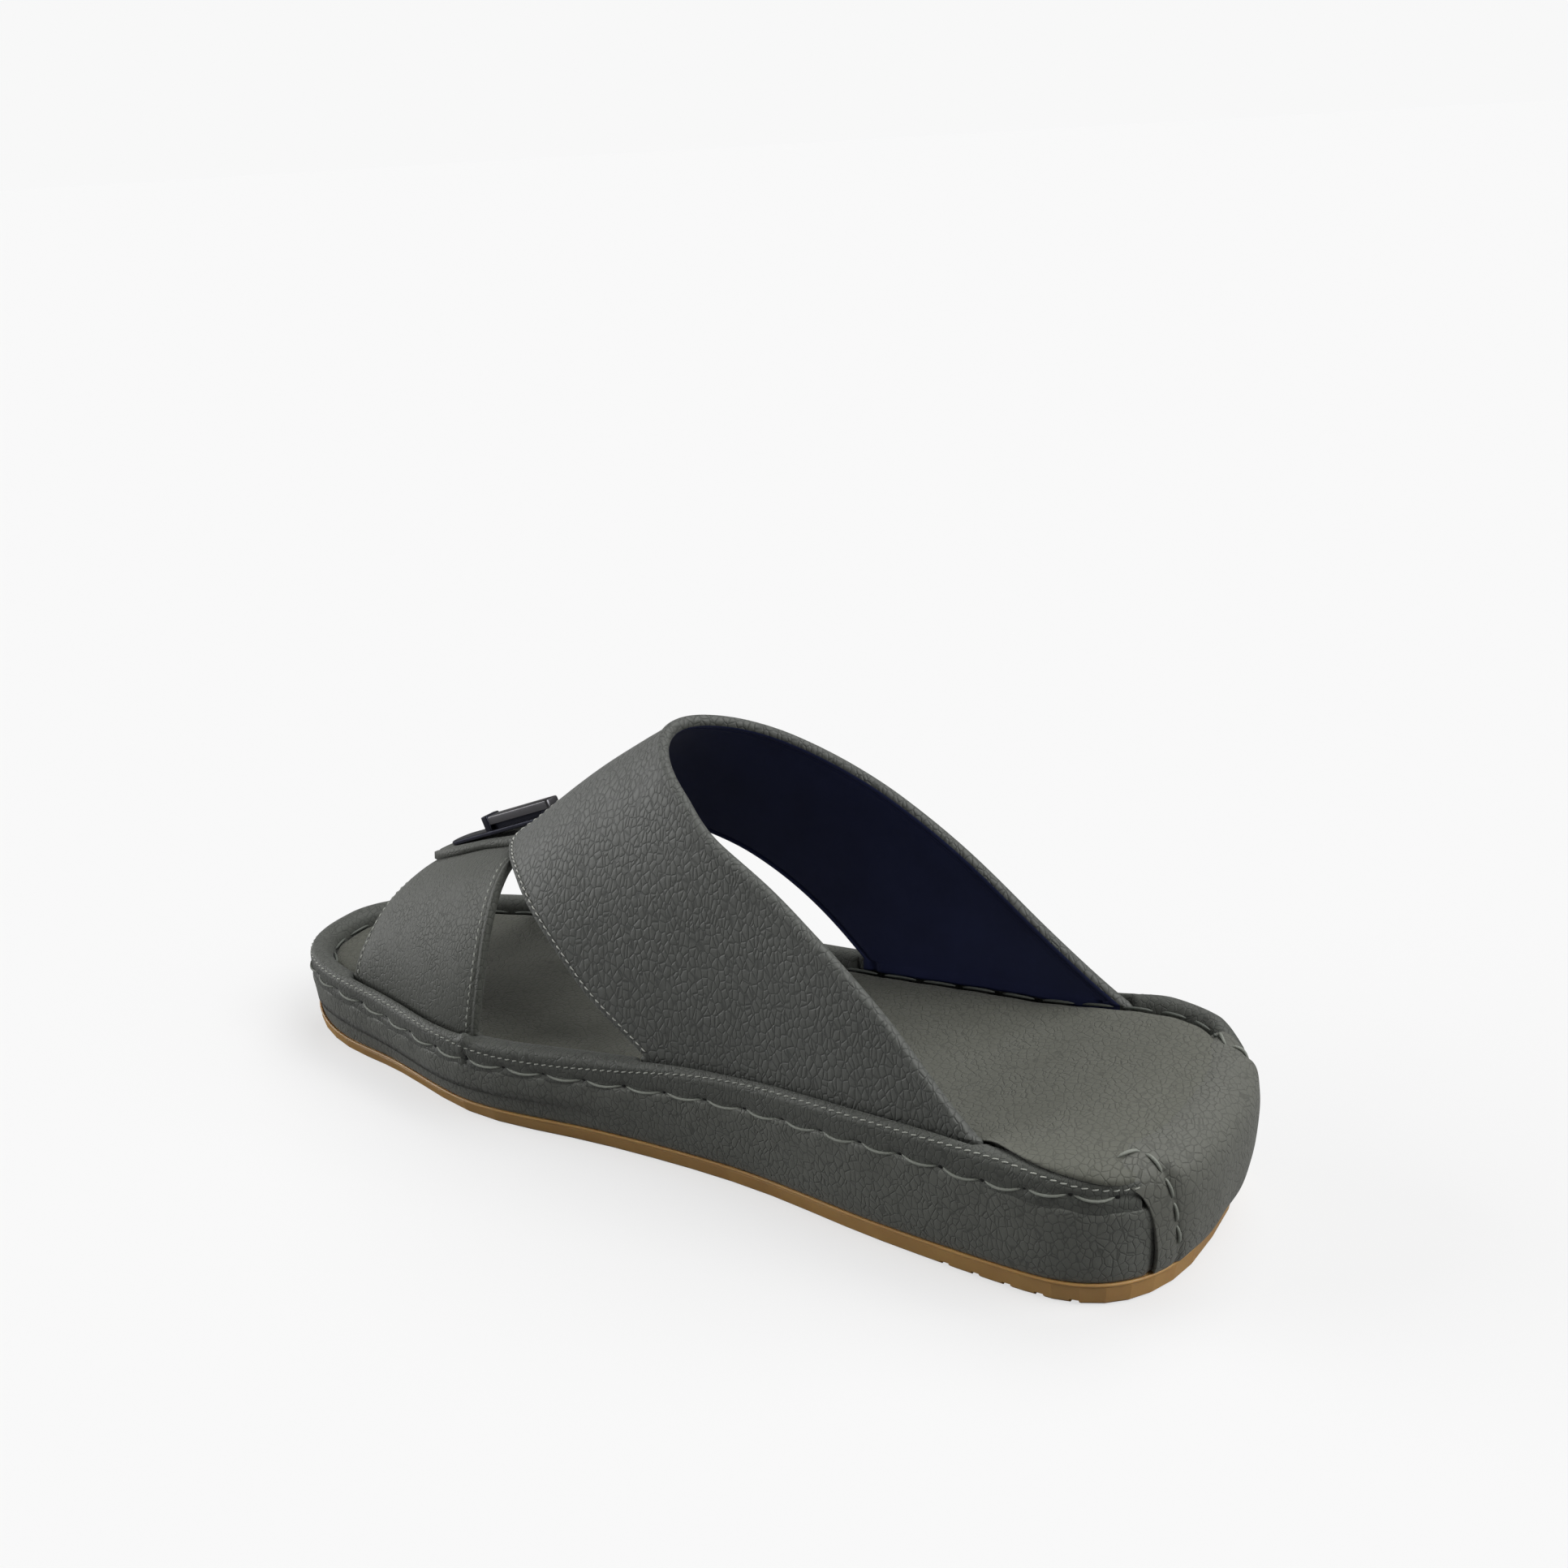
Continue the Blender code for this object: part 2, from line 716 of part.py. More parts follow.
# The plate lies on the tongue, and the bar stands on the plate on a block and a foot
def ornament():
    seat = plate_seat()
    plate_size = (PLATE_WIDTH, PLATE_LENGTH, PLATE_THICKNESS)
    metal_block("ornament_plate", plate_size, seat, PLATE_LENGTH / 2, PLATE_THICKNESS / 2)
    base = PLATE_THICKNESS + GAP
    whole = BAR_RAISE + BAR_HEIGHT
    bar_size = (BAR_WIDTH, BAR_LENGTH, BAR_HEIGHT)
    bar = metal_block("ornament_bar", bar_size, seat, BAR_SETBACK + BAR_LENGTH / 2, base + whole - BAR_HEIGHT / 2)
    block_size = (BLOCK_WIDTH, BLOCK_LENGTH, whole + METAL_EDGE)
    block_lift = base + (whole + METAL_EDGE) / 2
    join(bar, metal_block("bar_block", block_size, seat, BAR_SETBACK + BLOCK_LENGTH / 3, block_lift))
    foot_size = (BAR_WIDTH - METAL_EDGE, BAR_FOOT, whole - METAL_EDGE)
    foot_place = BAR_SETBACK + BAR_LENGTH - BAR_FOOT / 2 - METAL_EDGE
    join(bar, metal_block("bar_foot", foot_size, seat, foot_place, base + (whole - METAL_EDGE) / 2))


def hide_cutter(cutter):
    cutter.hide_render = True
    cutter.display_type = "WIRE"
    cutter.hide_set(True)


# Cross grooves under the heel run out at the edge, those under the forefoot stop inside it
def tread_cutter():
    bm = bmesh.new()
    for zone, margin in ((HEEL_TREAD, -TREAD_MARGIN), (FOREFOOT_TREAD, TREAD_MARGIN)):
        count = int((zone[1] - zone[0]) * SOLE_LENGTH / TREAD_PITCH)
        for k in range(count + 1):
            along = zone[0] + k * TREAD_PITCH / SOLE_LENGTH
            low = -half_width("medial", along) + margin - CENTRE_X
            high = half_width("lateral", along) - margin - CENTRE_X
            made = bmesh.ops.create_cube(bm, size=1.0)
            bmesh.ops.scale(bm, vec=(high - low, TREAD_WIDTH, 2 * TREAD_DEPTH), verts=made["verts"])
            middle = ((low + high) / 2, along * SOLE_LENGTH - CENTRE_Y, 0.0)
            bmesh.ops.translate(bm, vec=middle, verts=made["verts"])
    mesh = bpy.data.meshes.new("tread_grooves")
    bm.to_mesh(mesh)
    bm.free()
    cutter = bpy.data.objects.new("tread_grooves", mesh)
    CUTTERS.objects.link(cutter)
    return cutter


for old in list(bpy.data.objects):
    bpy.data.objects.remove(old, do_unlink=True)

SANDAL = bpy.data.collections.new("arabic_sandal")
CUTTERS = bpy.data.collections.new("cutters")
bpy.context.scene.collection.children.link(SANDAL)
bpy.context.scene.collection.children.link(CUTTERS)
LEG_LINES = leg_lines()

outsole = sole_piece("outsole", "gum_rubber", OUTSOLE_SIDE, False, 0.0)
grooves = tread_cutter()
apply_boolean(outsole, grooves, "DIFFERENCE")
hide_cutter(grooves)
sole_piece("midsole", "wall_leather", MIDSOLE_SIDE, True, 0.0)
rim_band()
footbed()
upper()
ornament()
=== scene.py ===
# Leather sandal for the right foot: the finish and the soft parts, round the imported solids.
# Metres, +Z up, +Y towards the toe, and the medial side at -X.
import math

import bmesh
import bpy
import numpy as np
from mathutils import Matrix


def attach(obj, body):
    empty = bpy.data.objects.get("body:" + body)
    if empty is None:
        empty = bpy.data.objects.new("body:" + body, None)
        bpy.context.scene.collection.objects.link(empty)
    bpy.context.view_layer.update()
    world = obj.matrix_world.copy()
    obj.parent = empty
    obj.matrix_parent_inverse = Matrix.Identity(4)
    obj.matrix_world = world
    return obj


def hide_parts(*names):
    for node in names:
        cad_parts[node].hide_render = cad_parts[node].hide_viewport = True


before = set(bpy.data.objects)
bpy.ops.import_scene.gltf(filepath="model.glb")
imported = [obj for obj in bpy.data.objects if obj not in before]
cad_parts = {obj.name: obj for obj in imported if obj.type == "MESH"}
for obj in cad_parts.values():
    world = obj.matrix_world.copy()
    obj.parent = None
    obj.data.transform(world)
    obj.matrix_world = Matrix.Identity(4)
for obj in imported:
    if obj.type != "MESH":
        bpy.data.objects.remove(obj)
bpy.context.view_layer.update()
mm = 0.001


# Camera, fitted to the outline of the standing sole
camera = {
    "place": (-0.34128, -0.25495, 0.25047),
    "right": (0.54325, -0.83780, -0.05454),
    "up": (0.32190, 0.14785, 0.93516),
    "lens": 40.013,
    "sensor": 36.0,
}


# Puts a new object into the scene
def linked(thing):
    bpy.context.scene.collection.objects.link(thing)
    return thing


def makeCamera():
    data = bpy.data.cameras.new("camera")
    data.lens = camera["lens"]
    data.sensor_width = camera["sensor"]
    right = np.array(camera["right"])
    up = np.array(camera["up"])
    back = np.cross(right, up)
    turned = np.column_stack([right, up, back])
    view = Matrix(turned.tolist()).to_4x4()
    view.translation = camera["place"]
    made = linked(bpy.data.objects.new("camera", data))
    made.matrix_world = view
    bpy.context.scene.camera = made


makeCamera()
print("camera done")


# Colours are sRGB hex values, which the shaders need as linear light
def linear(hexColour, alpha=1.0):
    values = [int(hexColour[i:i + 2], 16) / 255 for i in (1, 3, 5)]
    return (*[v / 12.92 if v <= 0.04045 else ((v + 0.055) / 1.055) ** 2.4 for v in values], alpha)


# Fills a node's inputs: a socket is linked, and any other value is written
def setInputs(tree, node, inputs):
    for name, value in inputs.items():
        if isinstance(value, bpy.types.NodeSocket):
            tree.links.new(value, node.inputs[name])
        else:
            node.inputs[name].default_value = value


# Adds one node with its settings and its inputs
def addNode(tree, kind, settings=None, inputs=None):
    node = tree.nodes.new(kind)
    for name, value in (settings or {}).items():
        setattr(node, name, value)
    setInputs(tree, node, inputs or {})
    return node


# A material with its tree and its shader
def newMaterial(name):
    material = bpy.data.materials.new(name)
    material.use_nodes = True
    return material, material.node_tree, material.node_tree.nodes["Principled BSDF"]


# Drummed full-grain leather: soft pebbles with darker creases between them, partly the grain's own colour and
# partly painted shade, and a dull waxed sheen
def pebbledLeather(name, look):
    material, tree, shader = newMaterial(name)
    spot = addNode(tree, "ShaderNodeTexCoord").outputs["Object"]
    drift = addNode(tree, "ShaderNodeTexNoise", {},
                    {"Vector": spot, "Scale": 1 / (4 * look["pebble"]), "Detail": 1.0})
    shift = addNode(tree, "ShaderNodeVectorMath", {"operation": "SCALE"},
                    {0: drift.outputs["Color"], "Scale": 0.5 * look["pebble"]})
    warped = addNode(tree, "ShaderNodeVectorMath", {"operation": "ADD"},
                     {0: spot, 1: shift.outputs[0]}).outputs[0]
    stretch = addNode(tree, "ShaderNodeMapping", {"vector_type": "POINT"},
                      {"Vector": warped, "Rotation": (0.3, 0.2, 0.5), "Scale": (1.0, 1.25, 0.8)}).outputs[0]
    cells = addNode(tree, "ShaderNodeTexVoronoi", {"feature": "DISTANCE_TO_EDGE"},
                    {"Vector": stretch, "Scale": 1 / look["pebble"], "Randomness": 1.0})
    small = addNode(tree, "ShaderNodeTexVoronoi", {"feature": "DISTANCE_TO_EDGE"},
                    {"Vector": stretch, "Scale": 2.3 / look["pebble"], "Randomness": 1.0})
    dome = addNode(tree, "ShaderNodeMapRange", {"interpolation_type": "SMOOTHSTEP"},
                   {"Value": cells.outputs["Distance"], "From Min": 0.0,
                    "From Max": look["width"]}).outputs[0]
    swell = addNode(tree, "ShaderNodeMapRange", {"interpolation_type": "SMOOTHSTEP"},
                    {"Value": cells.outputs["Distance"], "From Min": 0.0, "From Max": 0.5}).outputs[0]
    smallDome = addNode(tree, "ShaderNodeMapRange", {"interpolation_type": "SMOOTHSTEP"},
                        {"Value": small.outputs["Distance"], "From Min": 0.0, "From Max": 0.12}).outputs[0]
    where = addNode(tree, "ShaderNodeTexNoise", {}, {"Vector": spot, "Scale": 1 / (9 * mm), "Detail": 3.0})
    depth = addNode(tree, "ShaderNodeMapRange", {},
                    {"Value": where.outputs[0], "From Min": 0.35, "From Max": 0.65,
                     "To Min": look["calm"], "To Max": 1.0}).outputs[0]
    pores = addNode(tree, "ShaderNodeTexNoise", {},
                    {"Vector": spot, "Scale": 1 / (0.55 * mm), "Detail": 3.0, "Roughness": 0.6}).outputs[0]
    rounded = addNode(tree, "ShaderNodeMath", {"operation": "MULTIPLY_ADD"},
                      {0: swell, 1: look["swell"], 2: dome}).outputs[0]
    creased = addNode(tree, "ShaderNodeMath", {"operation": "MULTIPLY"}, {0: rounded, 1: depth}).outputs[0]
    fine = addNode(tree, "ShaderNodeMath", {"operation": "MULTIPLY_ADD"},
                   {0: smallDome, 1: look["small"], 2: creased}).outputs[0]
    height = addNode(tree, "ShaderNodeMath", {"operation": "MULTIPLY_ADD"},
                     {0: pores, 1: look["pores"], 2: fine}).outputs[0]
    bump = addNode(tree, "ShaderNodeBump", {},
                   {"Height": height, "Strength": look["strength"], "Distance": look["relief"]})
    tint = addNode(tree, "ShaderNodeMix", {"data_type": "RGBA"},
                   {0: where.outputs[0], 6: linear(look["shade"]), 7: linear(look["colour"])}).outputs[2]
    # Crease colour: partly the grain's own darker creases, partly painted shade of the creases' occlusion
    inCrease = addNode(tree, "ShaderNodeMapRange", {},
                       {"Value": dome, "From Min": 0.0, "From Max": 0.9, "To Min": look["creaseMix"],
                        "To Max": 0.0}).outputs[0]
    colour = addNode(tree, "ShaderNodeMix", {"data_type": "RGBA"},
                     {0: inCrease, 6: tint, 7: linear(look["crease"])}).outputs[2]
    dull = addNode(tree, "ShaderNodeMapRange", {},
                   {"Value": pores, "To Min": look["rough"] - 0.08,
                    "To Max": look["rough"] + 0.08}).outputs[0]
    setInputs(tree, shader, {"Base Color": colour, "Roughness": dull, "Normal": bump.outputs[0],
                             "IOR": 1.5, "Specular IOR Level": look["gloss"], "Sheen Weight": 0.12,
                             "Sheen Roughness": 0.45})
    return material


# Lining leather, smooth and dyed through: dark navy, with shallow drawn creases and a low sheen
def liningLeather(name, colour):
    material, tree, shader = newMaterial(name)
    spot = addNode(tree, "ShaderNodeTexCoord").outputs["Object"]
    pores = addNode(tree, "ShaderNodeTexNoise", {},
                    {"Vector": spot, "Scale": 1 / (0.7 * mm), "Detail": 3.0}).outputs[0]
    soft = addNode(tree, "ShaderNodeTexNoise", {},
                   {"Vector": spot, "Scale": 1 / (14 * mm), "Detail": 2.0}).outputs[0]
    drawn = addNode(tree, "ShaderNodeMapping", {},
                    {"Vector": spot, "Rotation": (0.5, 0.3, 0.2), "Scale": (0.25, 1.0, 1.0)})
    creases = addNode(tree, "ShaderNodeTexNoise", {"noise_type": "RIDGED_MULTIFRACTAL"},
                      {"Vector": drawn.outputs[0], "Scale": 1 / (9 * mm), "Detail": 3.0}).outputs[0]
    height = addNode(tree, "ShaderNodeMath", {"operation": "MULTIPLY_ADD"},
                     {0: pores, 1: 0.35, 2: creases}).outputs[0]
    tint = addNode(tree, "ShaderNodeMix", {"data_type": "RGBA"},
                   {0: soft, 6: linear(colour[0]), 7: linear(colour[1])}).outputs[2]
    bump = addNode(tree, "ShaderNodeBump", {}, {"Height": height, "Strength": 0.4, "Distance": 0.12 * mm})
    setInputs(tree, shader, {"Base Color": tint, "Normal": bump.outputs[0], "Roughness": 0.5,
                             "Specular IOR Level": 0.35})
    return material


# Waxed polyester thread, twisted: a pale, dull line whose strands break up the light
def waxedThread(name, colour, twist):
    material, tree, shader = newMaterial(name)
    spot = addNode(tree, "ShaderNodeTexCoord").outputs["Object"]
    strands = addNode(tree, "ShaderNodeTexNoise", {},
                      {"Vector": spot, "Scale": 1 / twist, "Detail": 1.0}).outputs[0]
    tint = addNode(tree, "ShaderNodeMix", {"data_type": "RGBA"},
                   {0: strands, 6: linear(colour[0]), 7: linear(colour[1])}).outputs[2]
    bump = addNode(tree, "ShaderNodeBump", {}, {"Height": strands, "Strength": 0.5, "Distance": twist / 4})
    setInputs(tree, shader, {"Base Color": tint, "Normal": bump.outputs[0], "Roughness": 0.58})
    return material


# Gum rubber, moulded: amber and satin, with a warm glow just under its skin and a faint mottle
def gumRubber(name):
    material, tree, shader = newMaterial(name)
    spot = addNode(tree, "ShaderNodeTexCoord").outputs["Object"]
    mottle = addNode(tree, "ShaderNodeTexNoise", {},
                     {"Vector": spot, "Scale": 1 / (11 * mm), "Detail": 4.0}).outputs[0]
    skin = addNode(tree, "ShaderNodeTexNoise", {},
                   {"Vector": spot, "Scale": 1 / (0.9 * mm), "Detail": 3.0}).outputs[0]
    tint = addNode(tree, "ShaderNodeMix", {"data_type": "RGBA"},
                   {0: mottle, 6: linear("#B08452"), 7: linear("#CFA565")}).outputs[2]
    bump = addNode(tree, "ShaderNodeBump", {}, {"Height": skin, "Strength": 0.3, "Distance": 0.15 * mm})
    setInputs(tree, shader, {"Base Color": tint, "Normal": bump.outputs[0], "Roughness": 0.42,
                             "Subsurface Weight": 0.25, "Subsurface Radius": (1.0, 0.5, 0.2),
                             "Subsurface Scale": 2.0 * mm})
    return material


# Gunmetal-plated zinc, brushed along its length: dark and satin, with highlights drawn out sideways.
# The brush lines are finer than the render shows, so they are drawn 0.25 mm wide.
def gunmetal(name, colour, rough):
    material, tree, shader = newMaterial(name)
    spot = addNode(tree, "ShaderNodeTexCoord").outputs["Object"]
    lines = addNode(tree, "ShaderNodeMapping", {}, {"Vector": spot, "Scale": (1.0, 0.04, 1.0)}).outputs[0]
    brush = addNode(tree, "ShaderNodeTexNoise", {},
                    {"Vector": lines, "Scale": 1 / (0.25 * mm), "Detail": 2.0}).outputs[0]
    bump = addNode(tree, "ShaderNodeBump", {}, {"Height": brush, "Strength": 0.25, "Distance": 0.03 * mm})
    spread = addNode(tree, "ShaderNodeMapRange", {},
                     {"Value": brush, "To Min": rough - 0.07, "To Max": rough + 0.09}).outputs[0]
    setInputs(tree, shader, {"Normal": bump.outputs[0], "Roughness": spread, "Base Color": linear(colour),
                             "Metallic": 1.0})
    return material


# Creases: width is a share of a pebble, calm is how much stays where the hide is smooth, and relief
# is the height of the bump. The strap's hide is the most creased one, and the rest share a soft grain.
softGrain = {"width": 0.11, "swell": 0.4, "calm": 0.40, "small": 0.10, "pores": 0.18, "gloss": 0.35}
strapLeather = pebbledLeather("pebbledStrapLeather", {
    "pebble": 2.05 * mm, "width": 0.14, "swell": 0.9, "calm": 0.60, "small": 0.08, "pores": 0.14,
    "relief": 0.12 * mm, "strength": 0.9, "rough": 0.55, "gloss": 0.42,
    "colour": "#5D5F5B", "shade": "#565854", "crease": "#1E201E", "creaseMix": 0.40})
frontLeather = pebbledLeather("fineStrapLeather", {
    **softGrain, "pebble": 1.7 * mm, "width": 0.12, "calm": 0.35, "relief": 0.12 * mm, "strength": 0.8,
    "rough": 0.57, "colour": "#52544E", "shade": "#4C4E48", "crease": "#262825", "creaseMix": 0.35})
wallLeather = pebbledLeather("pebbledWallLeather", {
    **softGrain, "pebble": 2.0 * mm, "relief": 0.15 * mm, "strength": 0.85,
    "rough": 0.56, "colour": "#6A6C66", "shade": "#62645E", "crease": "#2A2C2A", "creaseMix": 0.42})
# Painted shade: the wall's leather again, coloured darker so that the rim's lit top roll reads as dark as the
# wall
shadedRimLeather = pebbledLeather("shadedWallLeatherCopy", {
    **softGrain, "pebble": 1.8 * mm, "relief": 0.14 * mm, "strength": 0.8,
    "rough": 0.56, "colour": "#555752", "shade": "#4F514C", "crease": "#262826", "creaseMix": 0.4})
footbedLeather = pebbledLeather("pebbledFootbedLeather", {
    **softGrain, "pebble": 2.0 * mm, "calm": 0.25, "relief": 0.14 * mm, "strength": 0.8, "gloss": 0.32,
    "rough": 0.6, "colour": "#67685F", "shade": "#5F6057", "crease": "#31322D", "creaseMix": 0.36})
wrapLeather = pebbledLeather("pebbledHeelLeather", {
    **softGrain, "pebble": 2.0 * mm, "calm": 0.35, "relief": 0.15 * mm, "strength": 0.85, "gloss": 0.34,
    "rough": 0.58, "colour": "#6A6B64", "shade": "#63645D", "crease": "#31322E", "creaseMix": 0.36})
navyLining = liningLeather("navyLiningLeather", ("#2A3055", "#38406C"))
fineThread = waxedThread("fineWaxedThread", ("#B0B1AA", "#CDCEC6"), 0.3 * mm)
dullThread = waxedThread("dullWaxedThread", ("#94968E", "#B0B2AA"), 0.3 * mm)
heavyThread = waxedThread("heavyWaxedThread", ("#787B73", "#92968D"), 0.5 * mm)
# Painted shade: the heavy thread again, coloured darker for where it lies in the rim's inner corner by the
# footbed
shadedHeavyThread = waxedThread("shadedHeavyWaxedThread", ("#555953", "#686C66"), 0.5 * mm)
holeShadow = liningLeather("paintedHoleShadow", ("#0C0D0D", "#141515"))  # painted shadow: near-black caps where the thread holes lie in shade
gum = gumRubber("mouldedGumRubber")
darkPlating = gunmetal("darkGunmetal", "#35363F", 0.38)
lightPlating = gunmetal("brushedGunmetal", "#6B6A6D", 0.34)
print("materials done")


# The last: its outline and levels along the foot, as the solids have them
last = {
    "length": 0.285, "ballWidth": 0.093, "heelCurve": 0.033, "heelSquareness": 2.7,
    "toeCurve": {"medial": 0.132, "lateral": 0.096}, "toeSquareness": {"medial": 2.75, "lateral": 1.87},
    "rimHeight": 0.037, "bandHeight": 0.0070, "footbedDrop": 0.0035,
    "heelRise": 0.0060, "heelRiseZone": (0.06, 0.24),
    "outsoleHeel": 0.0066, "outsoleToe": 0.0043, "toeSpring": 0.006, "springStart": 0.884,
    "toeOverhang": 0.0042, "overhangStart": 0.75,
    "bandRise": 0.0035, "bandRiseZone": (0.10, 0.17),
}
outline = {
    "along": (0.0, 0.10, 0.25, 0.40, 0.55, 0.70, 0.85, 1.0),
    "medial": (0.430, 0.454, 0.445, 0.405, 0.425, 0.483, 0.440, 0.515),
    "lateral": (0.440, 0.444, 0.434, 0.435, 0.473, 0.515, 0.516, 0.486),
}
rimLine = {"along": (0.0, 0.2, 0.4, 0.6, 0.8, 1.0), "height": (0.92, 1.00, 0.90, 0.75, 0.71, 0.755)}
sideSign = {"medial": -1.0, "lateral": 1.0}


# A smooth curve through a row of values, level outside them
def follow(knots, values, at):
    knots = np.asarray(knots, float)
    values = np.asarray(values, float)
    at = np.clip(np.asarray(at, float), knots[0], knots[-1])
    slopes = np.gradient(values, knots)
    i = np.clip(np.searchsorted(knots, at) - 1, 0, len(knots) - 2)
    step = knots[i + 1] - knots[i]
    s = (at - knots[i]) / step
    start = (2 * s ** 3 - 3 * s ** 2 + 1) * values[i] + (s ** 3 - 2 * s ** 2 + s) * step * slopes[i]
    end = (3 * s ** 2 - 2 * s ** 3) * values[i + 1] + (s ** 3 - s ** 2) * step * slopes[i + 1]
    return start + end


def ease(share):
    share = np.clip(share, 0.0, 1.0)
    return share * share * (3 - 2 * share)


def bell(value, middle, width):
    return np.exp(-((value - middle) / width) ** 2)


# Vectors brought to length one
def unit(vectors):
    return vectors / np.linalg.norm(vectors, axis=-1, keepdims=True)


# Distance walked along a path, up to each of its points
def walkedTo(path):
    return np.concatenate([[0.0], np.cumsum(np.linalg.norm(np.diff(path, axis=0), axis=1))])


# Share of the full width near an end that is rounded off over its reach
def endRound(distance, reach, squareness):
    near = np.clip(1 - distance / reach, 0.0, 1.0)
    return (1 - near ** squareness) ** (1 / squareness)


def halfWidth(side, along):
    along = np.clip(along, 0.0, 1.0)
    width = last["ballWidth"] * follow(outline["along"], outline[side], along)
    heel = endRound(along * last["length"], last["heelCurve"], last["heelSquareness"])
    toe = endRound((1 - along) * last["length"], last["toeCurve"][side], last["toeSquareness"][side])
    return width * heel * toe


finely = np.linspace(0, 1, 401)
centreX = (halfWidth("lateral", finely).max() - halfWidth("medial", finely).max()) / 2
centreY = (last["length"] + 0.0010 - 0.0017) / 2


# Outline point moved in by inset, in plan
def rimPoint(side, along, inset):
    along = np.asarray(along, float)
    x = sideSign[side] * halfWidth(side, along)
    y = along * last["length"]
    step = np.maximum(np.minimum(0.001, np.minimum(along, 1 - along) / 2), 1e-7)
    dx = sideSign[side] * (halfWidth(side, along + step) - halfWidth(side, along - step))
    dy = 2 * step * last["length"]
    size = np.hypot(dx, dy)
    outX = sideSign[side] * dy / size
    outY = -sideSign[side] * dx / size
    outX = np.where((along < 1e-6) | (along > 1 - 1e-6), 0.0, outX)
    outY = np.where(along < 1e-6, -1.0, np.where(along > 1 - 1e-6, 1.0, outY))
    return x - inset * outX - centreX, y - inset * outY - centreY


def shareAlong(y):
    return np.clip((y + centreY) / last["length"], 0.0, 1.0)


def rimTop(y):
    return last["rimHeight"] * follow(rimLine["along"], rimLine["height"], shareAlong(y))


def shelf(y):
    return rimTop(y) - last["bandHeight"]


def footbedTop(y):
    low, high = last["heelRiseZone"]
    return rimTop(y) - last["footbedDrop"] + last["heelRise"] * ease((high - shareAlong(y)) / (high - low))


def outsoleTop(y):
    rise = np.maximum(0.0, (shareAlong(y) - last["springStart"]) / (1 - last["springStart"]))
    slope = (last["outsoleToe"] - last["outsoleHeel"]) * shareAlong(y)
    return last["toeSpring"] * rise ** 2 + last["outsoleHeel"] + slope


def toeOverhang(along):
    start = last["overhangStart"]
    return last["toeOverhang"] * np.maximum(0.0, (along - start) / (1 - start)) ** 2


# How much higher the rim stands round the lateral side of the heel
def bandRise(along):
    low, high = last["bandRiseZone"]
    return last["bandRise"] * ease((high - along) / (high - low))


# The upper's form: its crest, its section and the edges of its straps. The way across runs from 0
# at the crest to 1 at the rim, and medial is negative.
form = {
    "collarHeight": 0.109, "legInset": 0.0031, "lean": 0.075, "shoulder": 0.53, "crown": 0.49,
    "wall": 0.0024, "sink": 0.0050, "frontSpread": 0.30, "rearSpread": 0.50, "tongueStep": 0.0018,
}
crest = {
    "along": (0.140, 0.200, 0.280, 0.350, 0.456, 0.526, 0.560, 0.614,
              0.667, 0.695, 0.720, 0.772, 0.825, 0.854, 0.877, 0.912),
    "height": (1.070, 1.250, 1.345, 1.310, 1.138, 1.000, 0.945, 0.854,
               0.752, 0.695, 0.660, 0.602, 0.536, 0.492, 0.440, 0.330),
}
sinkLine = {
    "along": (0.600, 0.640, 0.675, 0.700, 0.744, 0.800, 0.823, 0.877),
    "depth": (0.70, 0.74, 0.98, 0.92, 0.68, 0.30, 0.17, 0.0),
}
saddleRear = {
    "across": (0.00, 0.25, 0.45, 0.60, 0.75, 0.87, 1.00),
    "medial": (0.526, 0.511, 0.472, 0.425, 0.334, 0.242, 0.161),
    "lateral": (0.526, 0.504, 0.456, 0.398, 0.316, 0.239, 0.144),
}
saddleFront = {
    "across": (0.00, 0.07, 0.13, 0.20, 0.30, 0.45, 0.60, 0.75, 0.87, 1.00),
    "medial": (0.668, 0.690, 0.706, 0.706, 0.692, 0.664, 0.633, 0.594, 0.556, 0.494),
    "lateral": (0.668, 0.676, 0.684, 0.689, 0.682, 0.647, 0.603, 0.530, 0.474, 0.411),
}
frontRear = {
    "across": (0.00, 0.15, 0.30, 0.45, 0.60, 0.80, 1.00),
    "medial": (0.646, 0.670, 0.694, 0.691, 0.687, 0.684, 0.688),
    "lateral": (0.646, 0.662, 0.682, 0.670, 0.657, 0.645, 0.637),
}
frontFront = {
    "across": (0.00, 0.20, 0.40, 0.60, 0.80, 1.00),
    "medial": (0.875, 0.877, 0.877, 0.878, 0.881, 0.883),
    "lateral": (0.875, 0.871, 0.855, 0.832, 0.832, 0.835),
}
tongueSide = {
    "along": (0.625, 0.650, 0.668, 0.698, 0.744, 0.760, 0.793, 0.815, 0.835, 0.849),
    "across": (0.16, 0.17, 0.18, 0.16, 0.115, 0.112, 0.130, 0.120, 0.08, 0.03),
    "farRise": 2.4 * mm, "farAt": (0.715, 0.045),
}


def edgeAlong(edge, across):
    knots = np.concatenate([-np.array(edge["across"])[:0:-1], edge["across"]])
    values = np.concatenate([np.array(edge["medial"])[:0:-1], edge["lateral"]])
    return follow(knots, values, np.clip(across, -1, 1))


# The line where the straps go down behind the rim
stationShares = (1 - np.cos(np.pi * np.arange(145) / 144)) / 2
legLine = {side: rimPoint(side, stationShares, form["legInset"]) for side in sideSign}


